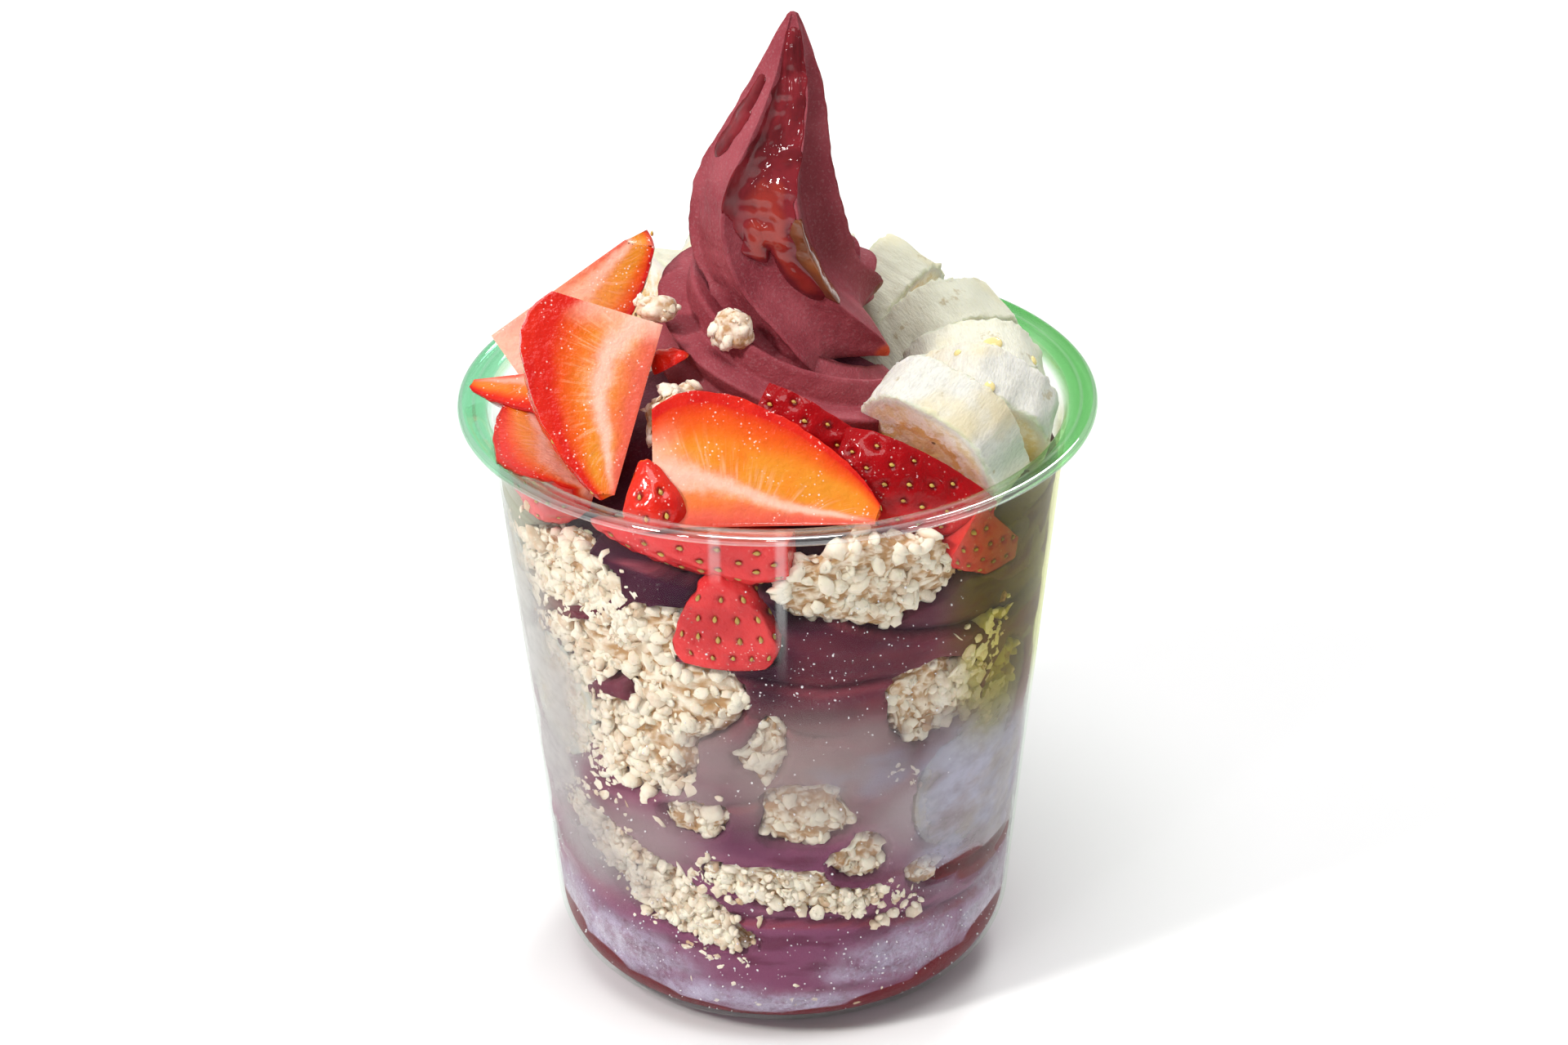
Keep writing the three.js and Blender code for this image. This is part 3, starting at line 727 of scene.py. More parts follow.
def peak_piece(top, columns=360):
    angle = np.arange(columns) / columns * 360
    low = PEAK["bottom"]
    levels = np.concatenate([[low], low + np.linspace(0.02, 1, 6) ** 1.5 * 0.9, np.arange(108.8, 157.4, 0.33)])
    rows = [np.repeat(peak_point(angle, levels[0]).mean(0)[None], columns, 0)]
    for share in (0.3, 0.6, 0.85):
        rows.append(rows[0] + (peak_point(angle, levels[0]) - rows[0]) * share)
    rows += [peak_point(angle, level) for level in levels]
    for share in (0.75, 0.45, 0.2):
        ring = peak_point(angle, PEAK["tip"])
        centre = ring.mean(0)
        ring = centre + (ring - centre) * math.sin(share * math.pi / 2)
        ring[:, 2] += (top - PEAK["tip"]) * math.cos(share * math.pi / 2) * 0.9
        rows.append(ring)
    tip = rows[-1].mean(0)
    tip[2] = top
    rows.append(np.repeat(tip[None], columns, 0))
    points = np.array(rows)
    middle = points.mean(1, keepdims=True)
    sway = waves(points, 5, 3, 3)[..., None] * 0.018 + waves(points, 1.6, 4, 2)[..., None] * 0.006
    points = middle + (points - middle) * (1 + sway)
    points[-1] = tip
    piece = wrapped_grid("acai_peak", points)
    # The hollow to the right of the ridge in front is in shade, most of all beside the ridge.
    shade = 0.4 * smooth_step(60, 66, angle) * smooth_step(122, 112, angle) + 0.6 * np.exp(-(((angle - 69) / 8) ** 2))
    shade = shade * smooth_step(112, 120, points[1:-1].mean(1)[:, 2:])
    store(piece, "shade", np.append(shade.ravel(), [0, 0]))
    return piece


ROPE = {
    "from": -232,
    "to": 95,
    "ridges": 9,
    "radius": 10.4,
    "groove": 0.34,
    "axis_x": 2.6,
    "ring": [[-232, 9.5], [-90, 11.5], [0, 13.4], [60, 15], [130, 18]],
    "height": [[-232, 107.5], [-150, 110], [-90, 108.5], [-45, 103.8], [0, 98.4], [60, 93], [130, 87]],
    "roll": 12,
}


def rope_piece(rows=230, columns=140):
    """The rope of soft serve that carries the peak."""
    turn = np.linspace(ROPE["from"], ROPE["to"], rows)
    middle = towards(turn, along(ROPE["ring"], turn), along(ROPE["height"], turn))
    middle[:, 0] += ROPE["axis_x"]
    tangent = np.gradient(middle, axis=0)
    tangent /= np.linalg.norm(tangent, axis=1)[:, None]
    outward = middle - [ROPE["axis_x"], 0, 0]
    outward[:, 2] = 0
    outward -= tangent * (outward * tangent).sum(1)[:, None]
    outward /= np.linalg.norm(outward, axis=1)[:, None]
    upward = np.cross(outward, tangent)
    upward *= np.sign(upward[:, 2])[:, None]
    angle = np.arange(columns) / columns * 2 * math.pi
    off = np.abs((angle + ROPE["roll"] * DEGREE) * ROPE["ridges"] / (2 * math.pi) % 1 * 2 - 1)
    section = 1 - ROPE["groove"] * (1 - np.sqrt(off * off + 0.004)) ** 0.8
    rounded = np.sqrt(np.clip(1 - (np.linspace(1, 0, 14)) ** 2, 0.02, 1))
    ends = np.ones(rows)
    ends[:14], ends[-14:] = rounded, rounded[::-1]
    radius = ROPE["radius"] * section[None] * ends[:, None]
    points = (
        middle[:, None]
        + outward[:, None] * (radius * np.cos(angle))[..., None]
        + upward[:, None] * (radius * np.sin(angle))[..., None]
    )
    points += (points - middle[:, None]) * waves(points, 6, 8, 3)[..., None] * 0.02
    start = np.repeat(points[:1].mean(1, keepdims=True), columns, 1)
    stop = np.repeat(points[-1:].mean(1, keepdims=True), columns, 1)
    return wrapped_grid("acai_coil", np.concatenate([start, points, stop]))


# Stains of juice on the soft serve: place, radius and colour.
JUICE = [((16.9, -6.1, 104.9), 2.6, (0.66, 0.12, 0.045)), ((16.0, 7.8, 109.3), 2.2, (0.22, 0.075, 0.030))]


def soft_serve_look(colours, deep=False):
    look = Finish("acai_pressed" if deep else "acai_swirl", Roughness=0.45, IOR=1.4)
    base = colours.acai_deep if deep else colours.acai
    look.wear(Subsurface_Weight=0.08, Subsurface_Scale=0.0012, Subsurface_Radius=(1.0, 0.3, 0.25))
    look.wear(Specular_IOR_Level=0.06 if deep else 0.13)
    cloudy = look.noise(110, 4.0)
    grain = look.noise(2300, 3.0, 0.6)
    look.tone = look.mix(look.between(cloudy, 0.35, 0.68), darker(base, 0.22), lighter(base, 0.02))
    look.paint(lighter(base, 0.24), look.between(grain, 0.5, 0.75), 0.25)
    if not deep:
        look.paint((0.085, 0.018, 0.018), look.stored("shade"), 0.62)
        # Juice stains the tips of two lobes.
        for tip, wide, stain in JUICE:
            away = look.node("VectorMath", {"operation": "DISTANCE"}, Vector=look.place())
            away.inputs[1].default_value = [part * MM for part in tip]
            stained = look.between(away.outputs["Value"], wide * MM, 0.55 * wide * MM)
            look.paint(stain, stained, 0.85)
    else:
        x, y, height = look.parts(look.place())
        drawn = look.scaled(look.place(), (1.0, 1.0, 3.4))
        warm = look.cloud(0.42, 0.6, 38, 3.0, 0.5, drawn)
        look.paint((0.19, 0.034, 0.046), warm, 0.6)
        pale = look.cloud(0.5, 0.7, 52, 4.0, 0.55, drawn)
        low = look.between(height, 0.062, 0.030)
        look.paint((0.24, 0.078, 0.155), low, 0.85)
        look.paint((0.34, 0.13, 0.20), pale, look.times(low, 0.5))
        streaky = look.cloud(0.5, 0.62, 64, 3.0, 0.55, drawn)
        look.paint(darker(base, 0.45), streaky, 0.5)
        # Painted shade: a dark band high on the wall, under the toppings.
        dark = look.times(look.between(height, 0.070, 0.083), look.between(height, 0.092, 0.086))
        look.paint((0.040, 0.009, 0.026), dark, 0.85)
        # Painted shade in the grooves between coils.
        look.paint((0.035, 0.008, 0.020), look.between(look.stored("crease_shade"), 0.25, 0.95), 0.8)
        # Painted highlight along the lower edges of the coils.
        look.paint((0.33, 0.065, 0.095), look.stored("edge"), 0.8)
        look.paint((0.026, 0.007, 0.020), look.stored("shade"), 0.9)
        olive = look.times(
            look.between(x, 0.022, 0.031), look.between(height, 0.052, 0.066), look.between(y, 0.010, -0.006)
        )
        patches = look.cloud(0.35, 0.6, 90, 3.0, 0.6, drawn)
        look.paint((0.20, 0.155, 0.055), olive, look.plus(0.3, look.times(patches, 0.4)))
        # Painted reflection: a sage-green patch high on the left of the soft serve.
        mint_reflection = look.times(look.between(x, -0.030, -0.041), look.between(height, 0.050, 0.066))
        look.paint((0.46, 0.47, 0.34), mint_reflection, 0.8)
        fog, chill = look.stored("fog"), look.stored("chill")
        grain_low = look.plus(look.noise(230, 6.0, 0.7), look.times(look.noise(1500, 3.0), 0.35))
        patchy = look.plus(look.times(look.between(grain_low, 0.52, 0.82), 0.95), 0.22)
        even = look.rest(look.times(chill, look.rest(patchy)))
        foggy = look.math("MULTIPLY", look.times(fog, even), 0.88, clamp=True)
        milk = look.mix(chill, (0.36, 0.235, 0.235), colours.frost)
        milk = look.over(milk, (0.62, 0.57, 0.60), look.between(fog, 0.72, 1.0), 0.7)
        look.paint(milk, foggy)
        wet = look.plus(look.stored("wet"), look.times(look.minus(cloudy, 0.5), 0.35))
        look.paint((0.15, 0.007, 0.014), look.between(wet, 0.24, 0.42))
    look.wear(Base_Color=look.tone)
    fine = look.relief(grain, 0.00020, 0.7)
    look.wear(Normal=look.relief(look.noise(700, 4.0, 0.6), 0.00034, 0.5, fine))
    return look.material


# Runs of syrup on the peak: [degrees from the first ridge, height] at each end, radius at each end, and depth.
SYRUP = {
    "red_syrup": {
        "turns": (-12, 74),
        "levels": (114, 156.4),
        "runs": [
            ((33, 155), (30, 147), 1.3, 2.1, 0.42),
            ((30, 147), (26, 137), 2.3, 3.3, 0.46),
            ((46, 149), (48, 138), 1.0, 1.4, 0.5),
            ((48, 138), (47, 128), 1.6, 2.0, 0.62),
            ((24, 137), (21, 130), 3.3, 3.5, 0.58),
            ((24, 131), (22, 126.4), 3.5, 3.1, 0.75),
            ((23, 126), (19, 123.6), 2.5, 2.2, 1.0),
            ((35, 133), (40, 126), 3.0, 2.6, 0.72),
            ((40, 126), (47, 119.6), 2.3, 2.4, 0.95),
            ((44, 133), (46, 129), 2.0, 2.2, 0.7),
        ],
    },
    "side_syrup": {
        "turns": (-62, -22),
        "levels": (134, 150),
        "runs": [((-37, 148), (-41, 143), 1.2, 1.7, 0.26), ((-40, 143), (-46, 137), 1.8, 1.5, 0.32)],
    },
    "honey_run": {
        "turns": (44, 84),
        "levels": (113, 133),
        "runs": [((59, 128), (62, 122.6), 1.1, 2.0, 0.6), ((62, 122.6), (65, 119), 2.1, 1.9, 0.9)],
    },
}


def syrup_piece(name, spec, depth, seed):
    """Runs of syrup that melt into each other over the peak, closed under its surface."""
    (low_turn, high_turn), (low, high) = spec["turns"], spec["levels"]
    angles = np.linspace(low_turn, high_turn, int((high_turn - low_turn) * 1.6))
    levels = np.linspace(low, high, int((high - low) * 5))
    angle, level = np.meshgrid(angles, levels)
    scale = along(PEAK["radius"], level) * 0.85 * DEGREE
    total = np.zeros(angle.shape)
    wavy = 1 + 0.14 * waves(np.stack([angle * 0.15, level], axis=-1), 4, seed, 2)
    for (turn_a, level_a), (turn_b, level_b), radius_a, radius_b, thick in spec["runs"]:
        step_x, step_y = (turn_b - turn_a) * scale, level_b - level_a
        x, y = (angle - turn_a) * scale, level - level_a
        share = np.clip((x * step_x + y * step_y) / np.maximum(step_x**2 + step_y**2, 1e-6), 0, 1)
        away = np.hypot(x - share * step_x, y - share * step_y)
        radius = (radius_a + (radius_b - radius_a) * share) * wavy
        total += (thick * np.clip(1 - (away / radius) ** 2, 0, 1) ** 0.6) ** 2.4
    thick = np.minimum(total ** (1 / 2.4), 1.25)
    wrinkled = waves(np.stack([angle * 0.19, level], axis=-1), 3.6, seed + 1, 2) * 0.11
    thick = (thick + wrinkled * smooth_step(0.1, 0.6, thick)) * depth / 0.75
    lift = np.where(thick > 0.02, thick - 0.05, -0.5)
    border = np.zeros(lift.shape, dtype=bool)
    border[[0, -1]] = border[:, [0, -1]] = True
    lift[border] = -0.5
    top, under = peak_point(angle, level, lift), peak_point(angle, level, -0.9)
    rows, columns = angle.shape
    count = rows * columns
    index = np.arange(count).reshape(rows, columns)
    quads = np.stack([index[:-1, :-1], index[:-1, 1:], index[1:, 1:], index[1:, :-1]], axis=-1).reshape(-1, 4)
    loop = np.concatenate([index[0], index[1:, -1], index[-1, -2::-1], index[-2:0:-1, 0]])
    walls = [[a, b, b + count, a + count] for a, b in zip(loop, np.roll(loop, -1))]
    faces = quads.tolist() + (quads[:, ::-1] + count).tolist() + [[int(i) for i in wall[::-1]] for wall in walls]
    piece = mesh_piece(name, np.concatenate([top.reshape(-1, 3), under.reshape(-1, 3)]), faces)
    store(piece, "thick", np.tile(np.clip(thick, 0, 2).ravel(), 2))
    edited(piece, OUTWARDS)
    return piece


def syrup_look(name, tone, dark, thick_tone):
    look = Finish(name, Roughness=0.06, IOR=1.45, Specular_IOR_Level=0.1, Coat_Roughness=0.03)
    look.wear(Subsurface_Weight=0.15, Subsurface_Scale=0.001, Subsurface_Radius=(1.0, 0.3, 0.15))
    mixed = look.mix(look.cloud(0.35, 0.65, 190, 3.0), dark, tone)
    thick = look.stored("thick")
    mixed = look.mix(look.between(thick, 0.9, 1.6), mixed, thick_tone)
    look.wear(Base_Color=mixed)
    shine = look.plus(0.12, look.times(look.between(thick, 0.25, 0.65), 0.68))
    look.wear(Coat_Weight=shine)
    look.wear(Normal=look.relief(look.noise(330, 2.0), 0.0006, 0.6))
    return look.material


# ---- strawberries ----

# Each wedge: where its cut calyx end and its tip lie, which way its skin and its first cut face look, its radius,
# how many degrees of the berry it is, and what differs from USUAL.
STRAWBERRIES = {
    "strawberry_front": (
        (-18.4, -38.4, 92.5), (16.2, -39.2, 93.1), (0, 0.5, 0.86), (0, -0.86, 0.5), 20.2, 58,
        {
            "band": [[0, 0.44], [0.25, 0.34], [0.5, 0.2], [0.75, 0.15], [1, 0.1]],
            "wide": [[0, 0.15], [0.35, 0.085], [1, 0.04]],
        },
    ),
    "strawberry_front_left": (
        (-16.9, -15.4, 114.6), (-24.6, -34.9, 94.4), (-0.93, 0.05, 0.3), (0.25, -0.75, 0.62), 20, 55,
        {
            "band": [[0, 0.2], [0.25, 0.33], [0.5, 0.34], [0.75, 0.22], [1, 0.08]],
            "wide": [[0, 0.13], [0.5, 0.11], [1, 0.06]],
            "flush": 1,
        },
    ),
    "strawberry_back_left": (
        (-43.6, 2, 105), (-18.6, 4, 123), (0.62, -0.35, -0.72), (-0.5, -0.6, 0.62), 14, 80,
        {
            "band": [[0, 0.42], [0.5, 0.25], [1, 0.12]],
            "wide": [[0, 0.3], [0.5, 0.16], [1, 0.08]],
            "blunt": 0.17,
            "ripe": -0.6,
        },
    ),
    "strawberry_over_rim": (
        (-24, -4, 103), (-47.8, 0, 98.4), (0.05, -0.85, -0.5), (-0.1, -0.4, 0.9), 9, 85,
        {"ripe": 0.5, "flush": 1},
    ),
    "strawberry_left_edge": (
        (-27, -28.4, 94.4), (-39.6, -0.5, 96.6), (-0.9, -0.4, 0.1), (0.2, -0.4, 0.9), 12, 80,
        {"narrow": 0.6, "ripe": 0.4, "flush": 0.8},
    ),
    "strawberry_gap": ((-17.6, -34.6, 91.6), (-19.8, -32.6, 101.4), (-1, -0.7, 0), (-0.5, 1, 0), 5.6, 110, {}),
    "strawberry_swirl_side": (
        (-1.6, -19, 103.4), (19, -26.6, 95), (-0.15, -0.55, 0.8), (0.3, 0.75, 0.45), 8.5, 95,
        {"ripe": 1},
    ),
    "strawberry_right": (
        (9.6, -22.6, 96), (33.4, -28.4, 89.8), (-0.15, -0.5, 0.8), (0.35, 0.75, 0.55), 11, 100,
        {"ripe": 1},
    ),
    "strawberry_wall_right": ((27, -29.6, 90.4), (38, -20.4, 79.6), (0.75, -0.7, 0.2), (0.3, 0.3, 0.8), 8.4, 110, {}),
    "strawberry_wall_cone": ((-7.6, -36.6, 70.6), (-8.2, -39, 87.4), (1, 0.2, 0), (0, 1, 0), 8.3, 180, {}),
    "strawberry_wall_front": ((2.4, -37, 91.4), (-28.6, -31, 91), (-0.1, -0.95, 0.1), (0, -0.3, 0.95), 8.6, 100, {}),
    "strawberry_wall_back": ((-20, 31, 66), (-2, 39, 74), (0.1, 1, -0.3), (0.2, 0.3, 0.9), 11, 150, {}),
    "strawberry_bit": ((-17.4, -13.6, 106.4), (-13, -15.4, 109.4), (0, -1, 0.3), (1, 0.2, 0), 2.8, 150, {}),
}
# How far out the pale core's band lies and how wide it is, both as stations along the berry, how blunt the tip is,
# how ripe the flesh, how narrow the calyx end and how far the red of the skin reaches in.
USUAL = {
    "band": [[0, 0.42], [0.35, 0.3], [0.7, 0.16], [1, 0.06]],
    "wide": [[0, 0.24], [0.5, 0.14], [1, 0.06]],
    "blunt": 0.06,
    "ripe": 0,
    "narrow": 0,
    "flush": 0,
}


def berry_outline(share):
    """Share of a strawberry's radius at a share of its length, from the cut calyx end to the tip."""
    share = np.clip(np.asarray(share, dtype=float), 0, 1)
    shoulder = 0.2
    near = 1 - 0.14 * np.clip(1 - share / shoulder, 0, 1) ** 2
    far = (1 - np.clip((share - shoulder) / (1 - shoulder), 0, 1) ** 1.6) ** 0.72
    return np.where(share < shoulder, near, far)


class Wedge:
    """The frame of a strawberry cut lengthwise: its core edge, its first cut face and the turn of its flesh."""

    def __init__(self, spec):
        calyx, tip, skin, faces, self.radius, self.spread, more = spec
        self.start = np.array(calyx, dtype=float)
        axis = np.array(tip, dtype=float) - self.start
        self.length = np.linalg.norm(axis)
        self.axis = axis / self.length
        outward = np.array(skin, dtype=float)
        outward -= self.axis * (outward @ self.axis)
        self.outward = outward / np.linalg.norm(outward)
        self.across = np.cross(self.axis, self.outward)
        self.handed = -1 if self.across @ np.array(faces, dtype=float) > 0 else 1
        for name, value in {**USUAL, **more}.items():
            setattr(self, name, value)

    def reach(self, share):
        """Radius of the skin at a share of the length."""
        share = np.asarray(share, dtype=float)
        return self.radius * berry_outline(share) * (1 - self.narrow * np.clip(1 - share / 0.4, 0, 1) ** 1.5)

    def placed(self, local):
        return self.start + local @ np.array([self.outward, self.across, self.axis])


def seed_spots(wedge, spacing, random):
    """Where a wedge's seeds sit on its skin, as (share of its length, angle), in staggered rows."""
    spots = []
    rows = max(1, int(wedge.length * 1.15 / spacing))
    for row in range(rows):
        share = (row + 0.6) / rows
        if share > 0.97:
            continue
        reach = float(wedge.reach(share))
        count = max(1, int(reach * wedge.spread * DEGREE / spacing))
        for i in range(count + 1):
            angle = (i + 0.5 * (row % 2) + random.uniform(-0.13, 0.13)) / count * wedge.spread
            if 0.5 / reach / DEGREE < angle < wedge.spread - 0.5 / reach / DEGREE:
                spots.append((share + random.uniform(-0.01, 0.01), angle))
    return spots


def wedge_local(wedge, share, angle, radius):
    turn = np.asarray(angle) * DEGREE
    return np.stack(
        np.broadcast_arrays(
            radius * np.cos(turn), wedge.handed * radius * np.sin(turn), np.asarray(share) * wedge.length
        ),
        axis=-1,
    )


def seed_place(wedge, share, angle, tub):
    """How a seed lies at a place on a wedge's skin: its turn, and its centre a little way into the skin."""
    step = 0.01
    shares, angles = np.array([share, share + step, share]), np.array([angle, angle, angle + 1])
    near = wedge_local(wedge, shares, angles, float(wedge.reach(share)))
    near[1, :2] *= wedge.reach(share + step) / wedge.reach(share)
    here, nearer_tip, round_ = wedge.placed(near)
    towards_tip = nearer_tip - here
    normal = np.cross(round_ - here, towards_tip)
    outward = here - wedge.placed(np.array([0, 0, share * wedge.length]))
    normal *= np.sign(normal @ outward) / np.linalg.norm(normal)
    first = towards_tip / np.linalg.norm(towards_tip)
    centre = tub.press(wedge.placed(near), 0.05)[0] - normal * 0.2
    return np.array([first, np.cross(normal, first), normal]), centre


def strawberry_piece(name, wedge, spots, tub, seed):
    """Spins a half outline of the berry through the wedge's angle, then dents its skin at the seeds."""
    large = wedge.radius > 4
    cell = 0.5 if large else 0.3
    rows = int(np.clip(wedge.length / cell, 16, 84))
    columns = int(np.clip(wedge.radius / cell * 0.8, 8, 34))
    deselect()
    bpy.ops.mesh.primitive_grid_add(x_subdivisions=columns, y_subdivisions=rows, size=1)
    piece = bpy.context.object
    piece.name = piece.data.name = name
    flat = get_points(piece) + [0.5, 0.5, 0]
    share = 1 - (1 - flat[:, 1]) ** 1.25
    half = wedge_local(wedge, share, 0, flat[:, 0] * wedge.reach(share) + 1e-4)
    set_points(piece, half * MM)
    steps = max(6, int(wedge.spread * DEGREE * wedge.radius / cell * 0.9))
    turned = {
        "steps": steps,
        "angle": -wedge.spread * DEGREE * wedge.handed,
        "center": (0, 0, 0),
        "axis": (0, 0, 1),
    }
    edited(piece, (bpy.ops.mesh.spin, turned))
    tidy_mesh(piece, 0.00002)
    width = (0.35 if large else 0.15) * MM
    limits = {"limit_method": "ANGLE", "angle_limit": 50 * DEGREE}
    modify(piece, "BEVEL", width=width, segments=2, **limits, harden_normals=False)
    local = get_points(piece) / MM
    out = np.hypot(local[:, 0], local[:, 1])
    blunt = 1 - wedge.blunt + 0.85 * wedge.blunt * smooth_step(0, 0.2 + wedge.blunt, out / wedge.radius)
    local[:, 2] = np.minimum(local[:, 2], wedge.length * blunt)
    share = np.clip(local[:, 2] / wedge.length, 0, 1)
    angle = np.degrees(np.arctan2(local[:, 1] * wedge.handed, local[:, 0]))
    edge = np.clip(out / np.maximum(wedge.reach(share), 0.3), 0, 1)
    edge = np.where(share > 0.985, 1, edge)
    store(piece, "berry", np.stack([share, edge, angle / 100], axis=1))
    store(piece, "ripe", np.full(len(local), wedge.ripe))
    store(piece, "flush", np.full(len(local), wedge.flush))
    store(piece, "band", (edge - along(wedge.band, share)) / along(wedge.wide, share))
    on_skin = smooth_step(0.9, 1.0, edge)
    pit = np.zeros(len(local))
    for spot_share, spot_angle in spots:
        reach = float(wedge.reach(spot_share))
        spot = wedge_local(wedge, spot_share, spot_angle, reach)
        away = np.linalg.norm(local - spot, axis=1)
        pit = np.maximum(pit, np.clip(1 - (away / 1.05) ** 2, 0, 1) ** 1.6)
    store(piece, "pit", np.clip(pit, 0, 1) * on_skin)
    lumpy = (waves(local, 11, seed, 2) * 0.35 + waves(local, 2.8, seed + 3, 2) * 0.26) * on_skin
    cut_wave = waves(local, 4, seed + 1, 3) * 0.10 * (1 - on_skin)
    push = lumpy + cut_wave
    flat_out = np.stack([local[:, 0], local[:, 1], np.zeros(len(local))], axis=1)
    flat_out /= np.maximum(out, 0.5)[:, None]
    placed = tub.press(wedge.placed(local + flat_out * (push * np.minimum(out / 2, 1))[:, None]), 0.05)
    placed -= (wedge.placed(flat_out) - wedge.start) * (0.7 * np.clip(pit, 0, 1) * on_skin)[:, None]
    set_points(piece, placed * MM)
    tidy_mesh(piece, 0.000002)
    piece.data.shade_smooth()
    return piece


def seed_form(length_mm, rows=5, columns=7):
    """A strawberry seed, a small drop: points and faces."""
    points, faces = [], []
    for row in range(1, rows):
        share = row / rows
        thick = math.sin(math.pi * share**0.8)
        for column in range(columns):
            angle = column / columns * 2 * math.pi
            aside, up = 0.32 * length_mm * thick * math.cos(angle), 0.2 * length_mm * thick * math.sin(angle)
            points.append(((share - 0.5) * length_mm, aside, up))
    points += [(-0.5 * length_mm, 0, 0), (0.5 * length_mm, 0, 0)]
    for row in range(rows - 2):
        faces += band_faces(row * columns, (row + 1) * columns, columns)
    low, high, last = len(points) - 2, len(points) - 1, (rows - 2) * columns
    for column in range(columns):
        after = (column + 1) % columns
        faces.append((low, after, column))
        faces.append((high, last + column, last + after))
    return np.array(points), faces


class Heap:
    """Gathers many small shapes and joins them into one mesh."""

    def __init__(self):
        self.points, self.faces, self.tones, self.count = [], [], [], 0

    def add(self, shape, turn, centre, tone, scale=1.0, reshape=None):
        points = (shape[0] * scale) @ turn + centre
        self.lay(reshape(points) if reshape else points, shape[1], tone)

    def lay(self, points, faces, tone):
        """Adds a shape that is in place already."""
        self.points.append(points)
        self.faces += [[i + self.count for i in face] for face in faces]
        self.tones.append(np.broadcast_to(tone, len(points)))
        self.count += len(points)

    def piece(self, name):
        made = mesh_piece(name, np.concatenate(self.points), self.faces)
        store(made, "tone", np.concatenate(self.tones))
        return made


def basis(normal, spin):
    """Rows of a turn that lays a shape's Z on the normal, spun about it."""
    normal = normal / np.linalg.norm(normal)
    side = np.cross(normal, [0, 0, 1] if abs(normal[2]) < 0.9 else [1, 0, 0])
    side /= np.linalg.norm(side)
    up = np.cross(normal, side)
    a = side * math.cos(spin) + up * math.sin(spin)
    return np.array([a, np.cross(normal, a), normal])


